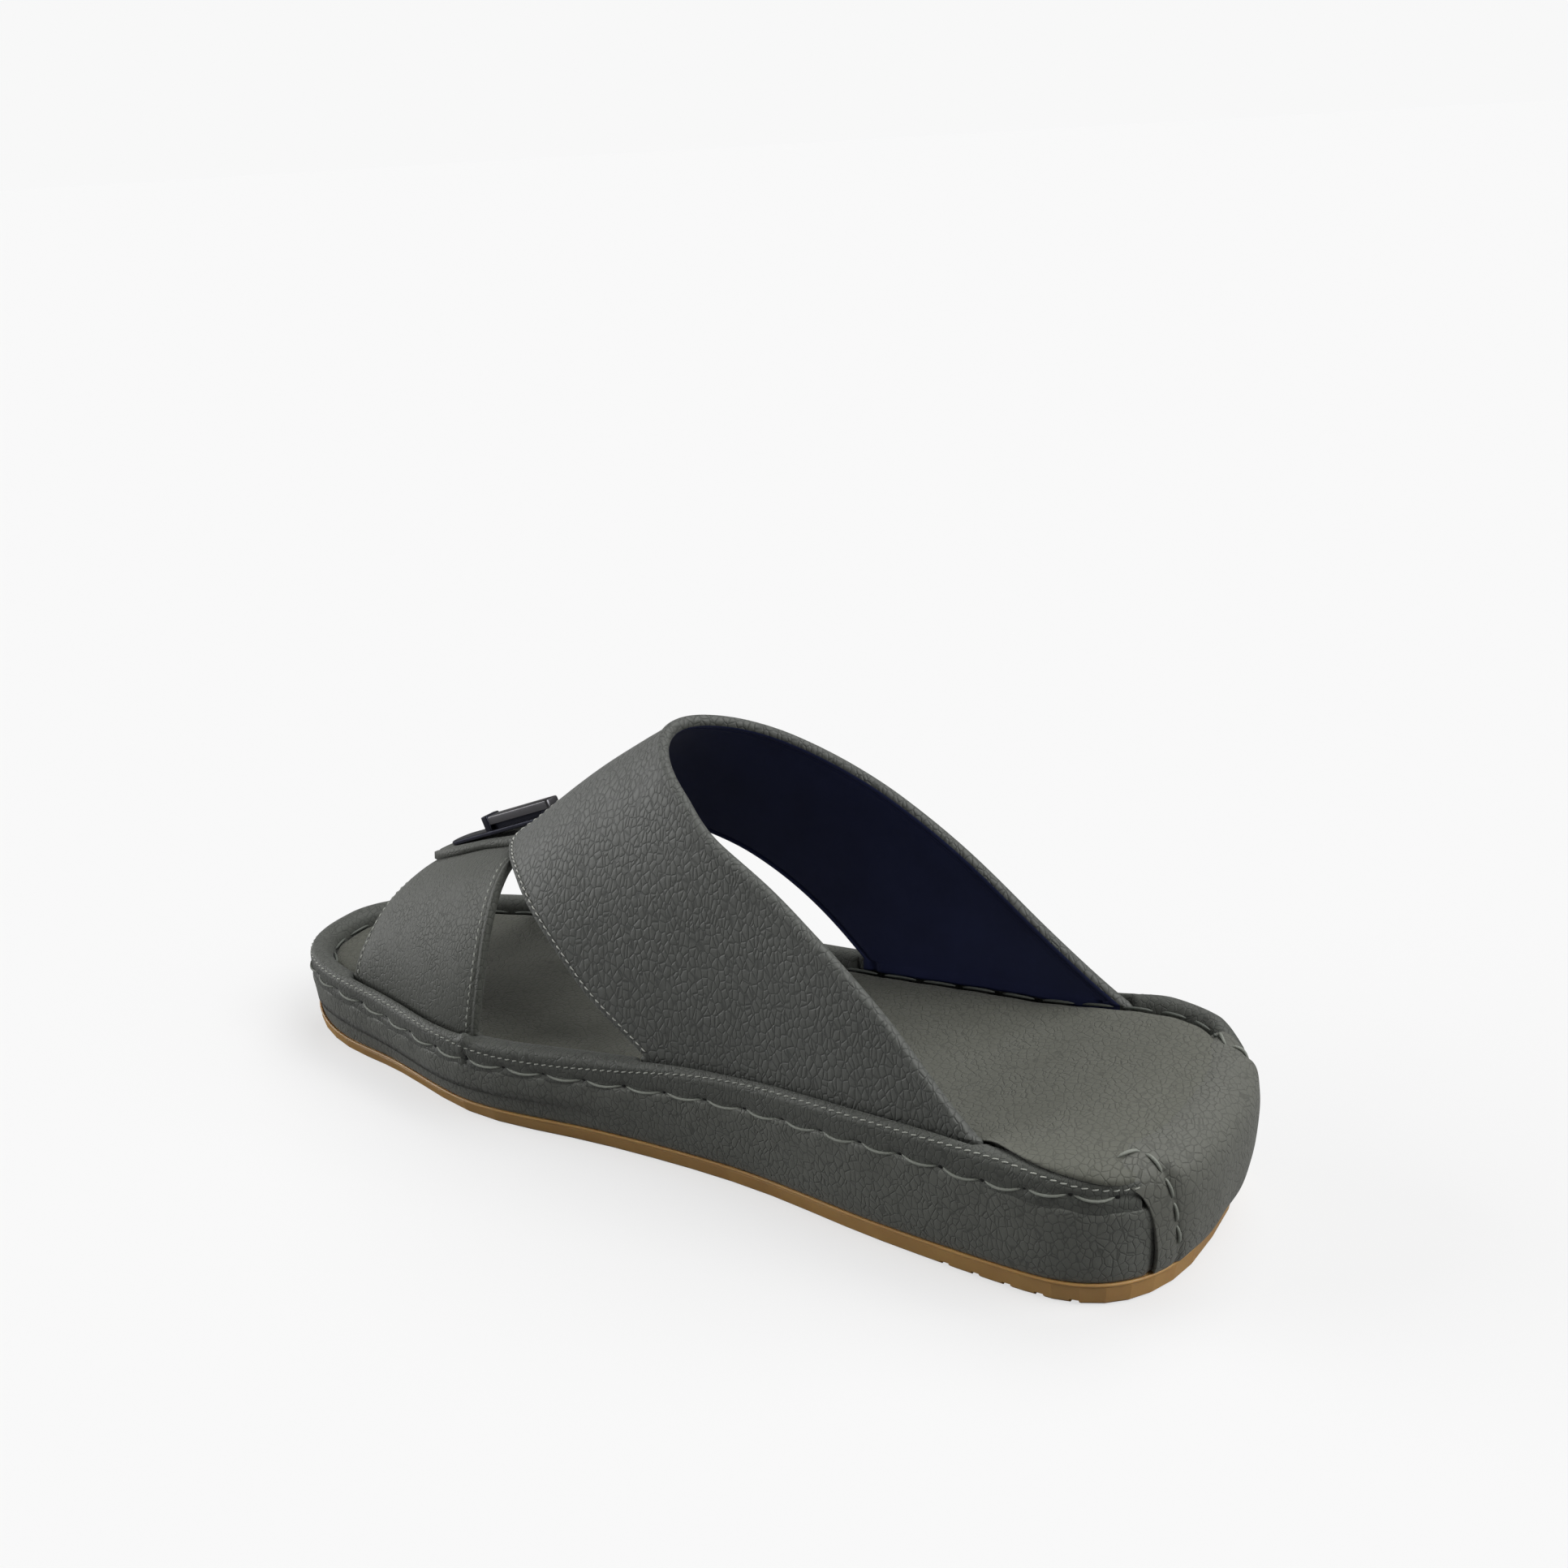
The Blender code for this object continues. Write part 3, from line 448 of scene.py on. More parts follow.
def formPoint(along, across):
    along, across = np.broadcast_arrays(np.asarray(along, float), np.asarray(across, float))
    y = along * last["length"] - centreY
    medial = np.interp(y, legLine["medial"][1], legLine["medial"][0])
    lateral = np.interp(y, legLine["lateral"][1], legLine["lateral"][0])
    footX = np.where(across < 0, medial, lateral)
    footZ = rimTop(y)
    crestZ = form["collarHeight"] * follow(crest["along"], crest["height"], along)
    s = np.minimum(np.abs(across), 1.0)
    out = 3 * (1 - s) ** 2 * s * form["crown"] + 3 * (1 - s) * s ** 2 * (1 - form["lean"]) + s ** 3
    up = (1 - s) ** 3 + 3 * (1 - s) ** 2 * s + 3 * (1 - s) * s ** 2 * form["shoulder"]
    depth = np.maximum(np.abs(across) - 1, 0.0) * (last["bandHeight"] - 0.0003)
    return np.stack([-centreX + out * (footX + centreX), y, footZ + up * (crestZ - footZ) - depth], -1)


def formNormal(along, across):
    along, across = np.broadcast_arrays(np.asarray(along, float), np.asarray(across, float))
    step = 0.002
    forward = formPoint(along + step, across) - formPoint(along - step, across)
    tucked = np.abs(across) > 1
    held = np.clip(across, -1, 1)
    over = formPoint(along, np.minimum(held + step, 1)) - formPoint(along, np.maximum(held - step, -1))
    normal = np.cross(over, forward)
    side = np.where(across > 0, 1.0, -1.0)
    level = np.stack([forward[..., 1] * side, -forward[..., 0] * side, np.zeros_like(side)], -1)
    normal = np.where(tucked[..., None], level, normal)
    return unit(normal)


def frontLift(along, across):
    depth = follow(sinkLine["along"], sinkLine["depth"], along)
    spread = form["frontSpread"] + (form["rearSpread"] - form["frontSpread"]) * depth
    return -form["sink"] * depth * ease(1 - np.abs(across) / spread)


def tongueLift(along, across):
    return frontLift(along, across) + form["tongueStep"]


def saddleLift(along, across):
    return 0.0003 * ease(1 - np.abs(across))


# A piece from rows of points and its faces, in the materials that its slots number
def newPiece(name, points, faces, materials, slots=None, smooth=True):
    mesh = bpy.data.meshes.new(name)
    rows = [tuple(p) for p in np.asarray(points).reshape(-1, 3)]
    mesh.from_pydata(rows, [], [tuple(int(i) for i in f) for f in faces])
    for material in materials:
        mesh.materials.append(material)
    if slots is not None:
        mesh.polygons.foreach_set("material_index", np.asarray(slots, np.int32))
    if smooth:
        mesh.shade_smooth()
    mesh.update()
    return linked(bpy.data.objects.new(name, mesh))


def gridFaces(rows, columns, closed, start=0):
    faces = []
    for r in range(rows - 1):
        for c in range(columns if closed else columns - 1):
            d = (c + 1) % columns
            a = start + r * columns
            faces.append((a + c, a + d, a + columns + d, a + columns + c))
    return faces


# Faces of a tube of rings, with a cap at both ends
def tubeFaces(rows, columns, start=0):
    end = start + (rows - 1) * columns
    caps = [tuple(range(start, start + columns))[::-1], tuple(range(end, end + columns))]
    return gridFaces(rows, columns, True, start) + caps


def turnOutward(piece):
    bm = bmesh.new()
    bm.from_mesh(piece.data)
    bmesh.ops.recalc_face_normals(bm, faces=bm.faces)
    bm.to_mesh(piece.data)
    bm.free()


# Puts a piece on the body and hides the solids that it stands for
def place(piece, slotName, *nodes):
    if nodes:
        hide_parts(*nodes)
    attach(piece, "root")
    return piece


# A slow, even wave over a surface, so that no leather lies perfectly smooth
def ripple(points, size, seed):
    p = np.asarray(points) / size
    wave = np.sin(p[..., 0] * 1.3 + 2.1 * seed + 1.7 * np.sin(p[..., 2] * 0.9 + seed))
    wave = wave + np.sin(p[..., 1] * 1.1 - 1.3 * seed + 1.4 * np.sin(p[..., 0] * 1.2 + 0.5 * seed))
    return (wave + np.sin(p[..., 2] * 1.6 + p[..., 1] * 0.7 + 0.8 * seed)) / 3


# A strap in section: distances are measured square to its edges
strapShape = {
    "columns": 210, "tuckedTo": 1.55, "middle": 44, "nose": 0.9 * mm, "blend": 1.5 * mm,
    "outerRows": 6, "collarRows": 7,
    "roll": {"radius": 1.75 * mm, "reach": 1.75 * mm, "fade": 4.6 * mm, "seam": 2.9 * mm},
    "turned": {"radius": 1.2 * mm, "reach": 0.9 * mm, "fade": 2.6 * mm, "seam": 1.9 * mm},
}


# Rows of one edge from its nose inwards: distance in and height over the form's surface
def edgeRows(edgeKind, outerSide):
    shape = strapShape[edgeKind]
    wall = form["wall"]
    rows = []
    for k in range(1, 9):
        turn = math.pi / 2 * k / 8
        rows.append((shape["reach"] * (1 - math.cos(turn)), shape["radius"] * math.sin(turn)))
    for k in range(1, 15):
        share = k / 14
        distance = shape["reach"] + (shape["fade"] + strapShape["blend"] - shape["reach"]) * share
        calm = float(ease(1 - (distance - shape["reach"]) / (shape["fade"] - shape["reach"])))
        height = wall / 2 + (shape["radius"] - wall / 2) * calm
        groove = float(bell(distance, shape["seam"], (0.5 if outerSide else 0.38) * mm))
        outerGroove = 0.22 if edgeKind == "turned" else 0.10
        height -= groove * (outerGroove if outerSide else 0.85) * mm
        rows.append((distance, height))
    return rows


def strapProfile(rearKind, frontKind):
    shares = [(k + 1) / (strapShape["middle"] + 1) for k in range(strapShape["middle"])]
    profile = [("rear", 0.0, 0.0)]
    profile += [("rear", d, h) for d, h in edgeRows(rearKind, True)]
    profile += [("middle", share, 1.0) for share in shares]
    profile += [("front", d, h) for d, h in edgeRows(frontKind, True)[::-1]]
    profile.append(("front", 0.0, 0.0))
    outer = len(profile)
    profile += [("front", d, -h) for d, h in edgeRows(frontKind, False)]
    profile += [("middle", 1 - share, -1.0) for share in shares]
    profile += [("rear", d, -h) for d, h in edgeRows(rearKind, False)[::-1]]
    return profile, outer


# How far the way along goes for a distance square to an edge
def alongPerDistance(edge, across):
    u = edgeAlong(edge, across)
    step = 0.004
    low = np.clip(across - step, -1, 1)
    high = np.clip(across + step, -1, 1)
    tangent = formPoint(edgeAlong(edge, high), high) - formPoint(edgeAlong(edge, low), low)
    forward = (formPoint(u + step, across) - formPoint(u - step, across)) / (2 * step)
    tangent = tangent / np.maximum(np.linalg.norm(tangent, axis=-1, keepdims=True), 1e-9)
    forwardSize = np.linalg.norm(forward, axis=-1)
    sine = np.linalg.norm(np.cross(tangent, forward / forwardSize[..., None]), axis=-1)
    return 1 / (forwardSize * np.clip(sine, 0.35, 1.0))


def strapPiece(name, rearEdge, frontEdge, lift, kinds, leather, seed):
    half = np.sin(np.pi / 2 * np.linspace(0, 1, strapShape["columns"] // 2))
    side = np.concatenate([half[1:], np.linspace(1, strapShape["tuckedTo"], 7)[1:]])
    across = np.concatenate([-side[::-1], [0.0], side])
    profile, outer = strapProfile(*kinds)
    rearU = edgeAlong(rearEdge, across)
    frontU = edgeAlong(frontEdge, across)
    rearRate = alongPerDistance(rearEdge, across)
    frontRate = alongPerDistance(frontEdge, across)
    wall = form["wall"]
    low = rearU + rearRate * (strapShape[kinds[0]]["fade"] + strapShape["blend"])
    high = frontU - frontRate * (strapShape[kinds[1]]["fade"] + strapShape["blend"])
    rings = []
    for where, distance, height in profile:
        if where == "rear":
            u = rearU + rearRate * (distance - strapShape["nose"])
            h = np.full_like(across, height)
        elif where == "front":
            u = frontU - frontRate * (distance - strapShape["nose"])
            h = np.full_like(across, height)
        else:
            u = low + (high - low) * distance
            h = np.full_like(across, height * wall / 2)
        plump = np.where(np.abs(across) > 1, np.sign(h) * np.minimum(np.abs(h), wall / 2), h)
        base = formPoint(u, across)
        normal = formNormal(u, across)
        wavy = ripple(base, 9 * mm, seed) * 0.16 * mm
        rings.append(base + normal * (lift(u, across) - wall / 2 + plump + wavy)[:, None])
    points = np.stack(rings, 1)
    count = len(profile)
    lined = range(outer + strapShape["outerRows"], count - strapShape["collarRows"] + 1)
    slots = [int(c in lined) for c in range(count)] * (len(across) - 1) + [0, 0]
    piece = newPiece(name, points, tubeFaces(len(across), count), [leather, navyLining], slots)
    turnOutward(piece)
    return piece


# Stitches: round threads that sink in at both ends, one for each start and end along the path
def stitchRow(name, path, normals, spans, thread, material):
    path = np.asarray(path)
    normals = np.asarray(normals)
    steps = walkedTo(path)
    around = 6
    along = 8
    points = []
    faces = []
    for start, end in spans:
        t = np.linspace(0, 1, along)
        at = start + t * (end - start)
        middle = np.stack([np.interp(at, steps, path[:, i]) for i in range(3)], 1)
        normal = np.stack([np.interp(at, steps, normals[:, i]) for i in range(3)], 1)
        normal = unit(normal)
        sideways = np.cross(normal, unit(np.gradient(middle, axis=0)))
        arch = np.sin(np.pi * t)
        middle = middle + normal * (thread["stand"] * (arch ** 0.6) - thread["sunk"])[:, None]
        middle = middle + sideways * (thread["slant"] * (t - 0.5) + thread["sag"] * arch)[:, None]
        swell = thread["radius"] * (0.35 + 0.65 * np.abs(arch) ** 0.35)
        base = len(points) * around
        for i in range(along):
            ring = []
            for j in range(around):
                turn = 2 * math.pi * j / around
                away = math.cos(turn) * sideways[i] + math.sin(turn) * normal[i]
                ring.append(middle[i] + swell[i] * away)
            points.append(ring)
        faces += tubeFaces(along, around, base)
    return newPiece(name, np.array(points), faces, [material])


# Even spans along a path: a start and an end for each stitch
def evenSpans(path, pitch, length):
    whole = float(np.linalg.norm(np.diff(path, axis=0), axis=1).sum())
    starts = np.arange((pitch - length) / 2, whole - length, pitch)
    return [(s, s + length) for s in starts]


# A round bead along a path
def tube(name, path, radius, around, material):
    path = np.asarray(path)
    tangent = unit(np.gradient(path, axis=0))
    sideways = unit(np.cross(tangent, (0.0, 0.0, 1.0)))
    lifted = np.cross(sideways, tangent)
    rings = []
    for j in range(around):
        turn = 2 * math.pi * j / around
        rings.append(path + radius * (math.cos(turn) * sideways + math.sin(turn) * lifted))
    piece = newPiece(name, np.stack(rings, 1), tubeFaces(len(path), around), [material])
    turnOutward(piece)
    return piece


# Instep saddle, front straps and tongue
saddleKinds = ("roll", "turned")
saddle = strapPiece("instepSaddle", saddleRear, saddleFront, saddleLift, saddleKinds, strapLeather, 1.0)
strapKinds = ("turned", "turned")
frontStrap = strapPiece("frontStrap", frontRear, frontFront, frontLift, strapKinds, frontLeather, 2.0)


def tonguePiece():
    shape = {"rows": 90, "columns": 41, "roll": 1.25 * mm}
    back = tongueSide["along"][0]
    tip = tongueSide["along"][-1]
    u = back + (tip - back) * np.sin(np.pi / 2 * np.linspace(0, 1, shape["rows"]))
    side = follow(tongueSide["along"], tongueSide["across"], u)
    share = np.linspace(-1, 1, shape["columns"])
    across = side[:, None] * share[None, :]
    u = np.broadcast_to(u[:, None], across.shape)
    base = formPoint(u, across)
    normal = formNormal(u, across)
    near = (1 - np.abs(share)) * 6.0 * mm
    roll = shape["roll"] * np.exp(-((near - 1.3 * mm) / (1.3 * mm)) ** 2) * 0.45
    lift = tongueLift(u, across) + roll[None, :] + ripple(base, 6 * mm, 3.0) * 0.1 * mm
    farEdge = ease((share - 0.35) / 0.5) * (1 - 0.4 * ease((share - 0.9) / 0.1))
    lift = lift + tongueSide["farRise"] * farEdge[None, :] * bell(u, *tongueSide["farAt"])
    outer = base + normal * lift[..., None]
    inner = base + normal * (tongueLift(u, across) - 2.6 * mm)[..., None]
    lip = (outer + inner) / 2
    away = np.stack([np.sign(share) * 1.0 * mm, 0 * share, 0 * share], 1)
    left = lip[:, :1] + away[None, :1]
    right = lip[:, -1:] + away[None, -1:]
    ring = np.concatenate([left, outer, right, inner[:, ::-1]], 1)
    nose = ring[-1] * 0.5 + ring[-1].mean(0) * 0.5 + np.array((0.0, 1.2 * mm, -0.5 * mm))
    ring = np.concatenate([ring, nose[None]], 0)
    piece = newPiece("tongue", ring, tubeFaces(*ring.shape[:2]), [frontLeather])
    turnOutward(piece)
    return piece


tongue = tonguePiece()
place(saddle, "grain_leather", "upper")
place(frontStrap, "grain_leather")
place(tongue, "grain_leather")
print("straps done")


edgeThread = {"pitch": 2.2 * mm, "length": 1.45 * mm, "radius": 0.2 * mm, "stand": 0.24 * mm,
              "sunk": 0.10 * mm, "slant": 0.15 * mm, "sag": 0.0}


def strapStitches(name, edge, lift, inside, span, sign, material):
    across = np.linspace(span[0], span[1], 400)
    rate = alongPerDistance(edge, across)
    u = edgeAlong(edge, across) + sign * rate * (inside - strapShape["nose"])
    normal = formNormal(u, across)
    path = formPoint(u, across) + normal * (lift(u, across) - 0.10 * mm)[:, None]
    spans = evenSpans(path, edgeThread["pitch"], edgeThread["length"])
    return place(stitchRow(name, path, normal, spans, edgeThread, material), "grain_leather")


strapStitches("saddleStitches", saddleFront, saddleLift, 1.8 * mm, (-0.99, 0.99), -1, fineThread)
strapStitches("strapRearStitches", frontRear, frontLift, 3.4 * mm, (-0.99, -0.24), 1, dullThread)
strapStitches("strapRearStitchesFar", frontRear, frontLift, 3.4 * mm, (0.24, 0.99), 1, dullThread)
strapStitches("strapFrontStitches", frontFront, frontLift, 1.9 * mm, (-0.99, 0.99), -1, dullThread)
print("strap stitches done")


# Places round the rim at even steps: up the medial side to the toe and back down the lateral one
def rimWalk(start, step):
    dense = start + (1 - start) * (1 - np.cos(np.pi * np.linspace(0, 1, 1601))) / 2
    medial = np.stack(rimPoint("medial", dense, 0.0), 1)
    lateral = np.stack(rimPoint("lateral", dense, 0.0), 1)[::-1]
    path = np.vstack([medial, lateral[1:]])
    run = walkedTo(path)
    walked = np.arange(0.0, run[-1], step)
    along = np.interp(walked, run, np.concatenate([dense, dense[::-1][1:]]))
    return {"medial": walked <= run[len(dense) - 1], "along": along, "walked": walked}


# Rolled and stitched-down leather rim. Drops are measured down from its top.
rim = {
    "start": 0.0290, "step": 0.8 * mm, "width": 5.8 * mm, "thin": 2.5 * mm, "legMargin": 0.0079,
    "blend": 0.010, "pitch": (10.1 * mm, 12.6 * mm), "firstHole": 5.2 * mm, "pucker": 0.55 * mm,
    "rows": 24, "tuckAt": 0.690, "riseFrom": 0.022, "lowest": 8.35,
    "outer": ((0.38, 0.80, 1.35, 1.90, 2.60, 3.60, 5.00, 6.50, 9.00),
              (0.30, -0.22, -0.58, -0.80, -0.92, -0.99, -1.02, -1.00, -0.92)),
    "top": ((0.95, -0.12), (1.70, 0.0), (2.50, 0.0), (3.30, -0.15), (4.10, -0.55), (4.85, -1.20),
            (5.40, -2.10), (5.70, -3.20), (5.80, -4.40), (5.80, -6.70)),
    "stitchDrop": ((0.03, 0.045, 0.06, 0.085, 0.11, 0.20, 0.45, 0.52, 0.60, 0.66, 0.72, 0.91, 1.0),
                   (2.1, 2.2, 2.0, 1.4, 0.9, 1.2, 1.4, 2.8, 3.6, 3.2, 1.7, 1.3, 1.4)),
    "threadDrop": ((0.035, 0.06, 0.09, 0.115, 0.14, 0.20, 0.50, 0.60, 0.75, 0.91, 1.0),
                   (4.1, 4.0, 4.5, 5.9, 7.0, 7.3, 7.1, 6.6, 5.6, 5.0, 5.0)),
}


# The rim is thinner where a strap is tucked in behind it
def rimWidth(walk):
    widths = {}
    for side in sideSign:
        width = np.full_like(walk["along"], rim["width"])
        for rear, front in ((saddleRear, saddleFront), (frontRear, frontFront)):
            low = rear[side][-1] - rim["legMargin"]
            high = front[side][-1] + rim["legMargin"]
            begun = ease((walk["along"] - low) / rim["blend"] + 0.5)
            inside = begun * ease((high - walk["along"]) / rim["blend"] + 0.5)
            width = width - (rim["width"] - rim["thin"]) * inside
        widths[side] = width
    return np.where(walk["medial"], widths["medial"], widths["lateral"])


def rimSurface(walk, inset, drop):
    spots = {side: rimPoint(side, walk["along"], inset) for side in sideSign}
    x = np.where(walk["medial"], spots["medial"][0], spots["lateral"][0])
    y = np.where(walk["medial"], spots["medial"][1], spots["lateral"][1])
    pastHeel = ease((walk["along"] - rim["riseFrom"]) / 0.035)
    rise = np.where(walk["medial"], 0.0, bandRise(walk["along"]) * pastHeel)
    tall = np.clip(1 - drop / last["bandHeight"], 0.0, 1.0)
    return np.stack([x, y, rimTop(y) - drop + rise * tall], -1)


rimStations = rimWalk(rim["start"], rim["step"])
stitchDrop = follow(*rim["stitchDrop"], rimStations["along"])
threadDrop = follow(*rim["threadDrop"], rimStations["along"])


# The holes of the heavy thread lie closer together at the heel
def holePlaces():
    walked = rimStations["walked"]
    low, high = rim["pitch"]
    holes = [rim["firstHole"]]
    while holes[-1] < walked[-1] - 2 * mm:
        along = float(np.interp(holes[-1], walked, rimStations["along"]))
        holes.append(holes[-1] + low + (high - low) * float(ease(along / 0.5)))
    return np.array(holes)


holes = holePlaces()
holePhase = 2 * math.pi * np.interp(rimStations["walked"], holes, np.arange(len(holes)))
pulled = 0.5 + 0.5 * np.cos(holePhase)


# Outer side of the rim at a drop in mm: its bulge, the fine seam's groove and the heavy thread's pull
def rimOuter(drop):
    inset = follow(*rim["outer"], drop)
    inset = inset + 0.20 * bell(drop, stitchDrop, 0.45)
    inset = inset + (0.14 + rim["pucker"] / mm * pulled ** 2) * bell(drop, threadDrop, 0.9)
    return inset - 0.22 * (1 - pulled) * bell(drop, threadDrop + 1.2, 1.0)


def rimPiece():
    walk = rimStations
    width = rimWidth(walk) / mm
    tuck = np.where(walk["medial"], bell(walk["along"], rim["tuckAt"], 0.006), 0.0)
    crease = np.where(walk["medial"], bell(walk["along"], rim["tuckAt"] - 0.001, 0.0020), 0.0)
    uneven = 0.5 + 0.5 * np.sin(walk["walked"] / (7.3 * mm) + 1.7 * np.sin(walk["walked"] / (19 * mm)))
    bottom = np.maximum(rim["lowest"], threadDrop + 0.9)
    columns = [(0.35 + 0 * bottom, bottom + 0.15), (-0.45 + 0 * bottom, bottom + 0.28)]
    for k in range(rim["rows"]):
        drop = 0.38 + (bottom - 0.38) * (1 - k / (rim["rows"] - 1))
        low = ease((drop - 1.5) / 2.0)
        gathered = 1.1 * crease * low - 0.35 * tuck + 0.12 * low * uneven
        columns.append((rimOuter(drop) + gathered, drop - 1.2 * tuck * (1 - low)))
    for inset, drop in rim["top"]:
        moved = 0.3 + (inset - 0.3) * (width - 0.3) / 5.5 - 0.4 * tuck
        columns.append((moved, -drop - 1.2 * tuck * (drop > -1) + 0.14 * uneven))
    points = np.stack([rimSurface(walk, inset * mm, drop * mm) for inset, drop in columns], 1)
    piece = newPiece("rimBand", points, tubeFaces(*points.shape[:2]), [shadedRimLeather])
    turnOutward(piece)
    return place(piece, "grain_leather", "rim_band")


rimPiece()
print("rim done")


# Both threads on the rim, the painted shadow in the holes of the heavy one, and the heavy stitches along its
# inner base
rimThreads = {
    "fine": {"pitch": 2.3 * mm, "length": 1.6 * mm, "radius": 0.2 * mm, "stand": 0.26 * mm, "sunk": 0.10 * mm,
             "slant": 0.3 * mm, "sag": 0.0},
    "heavy": {"radius": 0.38 * mm, "stand": 0.62 * mm, "sunk": 0.42 * mm, "slant": 0.0, "sag": 0.70 * mm},
    "inner": {"radius": 0.42 * mm, "stand": 0.75 * mm, "sunk": 0.35 * mm, "slant": 0.0, "sag": 0.0},
    "holeRadius": 0.55 * mm, "innerInset": 6.1 * mm, "innerFrom": 0.2,
}


def rimPath(drop):
    path = rimSurface(rimStations, rimOuter(drop) * mm, drop * mm)
    low = rimSurface(rimStations, rimOuter(drop + 0.3) * mm, (drop + 0.3) * mm)
    high = rimSurface(rimStations, rimOuter(drop - 0.3) * mm, (drop - 0.3) * mm)
    forward = np.gradient(path, axis=0)
    normal = unit(np.cross(high - low, forward))
    outward = unit(path[:, :2])
    flip = np.sign((normal[:, :2] * outward).sum(1))
    return path, normal * flip[:, None]


# Near-black caps over each thread hole: painted shadow inside the holes
def threadHoles(name, path, normals, places, radius):
    points = []
    faces = []
    around = 10
    for at in places:
        middle = np.array([np.interp(at, rimStations["walked"], path[:, i]) for i in range(3)])
        normal = np.array([np.interp(at, rimStations["walked"], normals[:, i]) for i in range(3)])
        across = unit(np.cross(normal, (0, 0, 1)))
        upward = np.cross(across, normal)
        base = len(points)
        for swell, stand in ((1.0, -0.6), (1.0, 0.02), (0.75, 0.12), (0.3, 0.15)):
            for j in range(around):
                turn = 2 * math.pi * j / around
                away = swell * (math.cos(turn) * across + math.sin(turn) * upward)
                points.append(middle + radius * (away + stand * normal))
        faces += tubeFaces(4, around, base)
    return newPiece(name, points, faces, [holeShadow])


def rimThreadPieces():
    fine = rimThreads["fine"]
    path, normals = rimPath(stitchDrop)
    spans = evenSpans(path, fine["pitch"], fine["length"])
    place(stitchRow("rimStitches", path, normals, spans, fine, dullThread), "grain_leather")
    path, normals = rimPath(threadDrop)
    onPath = np.interp(holes, rimStations["walked"], walkedTo(path))
    spans = [(a + 0.2 * mm, b - 0.2 * mm) for a, b in zip(onPath, onPath[1:])]
    place(stitchRow("rimThread", path, normals, spans, rimThreads["heavy"], heavyThread), "grain_leather")
    place(threadHoles("rimHoleShadows", path, normals, holes[:-1], rimThreads["holeRadius"]), "grain_leather")
    inset = 0 * rimStations["along"] + rimThreads["innerInset"]
    flat = rimSurface(rimStations, inset, 0 * inset)
    flat[:, 2] = footbedTop(flat[:, 1]) - 0.35 * mm
    wall = rimSurface(rimStations, inset - 1 * mm, 0 * inset)
    normals = flat - wall
    normals[:, 2] = 0.8 * mm
    normals = unit(normals)
    onPath = np.interp(holes, rimStations["walked"], walkedTo(flat))
    along = np.interp(holes, rimStations["walked"], rimStations["along"])
    medial = holes < rimStations["walked"][rimStations["medial"]][-1]
    spans = []
    for k in range(len(holes) - 1):
        if medial[k] and along[k] < rimThreads["innerFrom"]:
            continue
        spans.append((onPath[k] + 1.2 * mm, onPath[k + 1] - 1.2 * mm))
    # The inner stitches take the heavy thread's darker copy: painted shade in the rim's inner corner
    place(stitchRow("rimInnerThread", flat, normals, spans, rimThreads["inner"], shadedHeavyThread), "grain_leather")


rimThreadPieces()
print("rim threads done")


# Closes the ends of a lofted piece, with its faces turned outwards
def closeLoft(piece):
    bm = bmesh.new()
    bm.from_mesh(piece.data)
    bmesh.ops.remove_doubles(bm, verts=bm.verts, dist=1e-6)
    bmesh.ops.holes_fill(bm, edges=[e for e in bm.edges if e.is_boundary], sides=0)
    bmesh.ops.recalc_face_normals(bm, faces=bm.faces)
    bm.to_mesh(piece.data)
    bm.free()


# Padded footbed, with soft scallops where the rim's thread pulls at its edge. At the medial side of
# the heel its leather spills over the rim and sags towards the heel's corner.
footbed = {"edge": 6.3 * mm, "dish": 1.5 * mm, "rows": 240, "across": 64, "scallop": 0.35 * mm,
           "lip": 1.35 * mm, "ripple": 0.22 * mm, "flatHeel": (0.03, 0.14), "spillEnd": 0.175,
           "spill": ((0.0, 0.010, 0.028, 0.04, 0.07, 0.11, 0.15, 0.175),
                     (0.0, 2.2, 6.0, 7.1, 6.4, 4.9, 1.8, 0.0)),
           "spillLevel": ((0.0, 0.04, 0.07, 0.11, 0.15, 0.175), (-0.9, -0.8, 0.05, 0.85, 1.1, 0.9))}


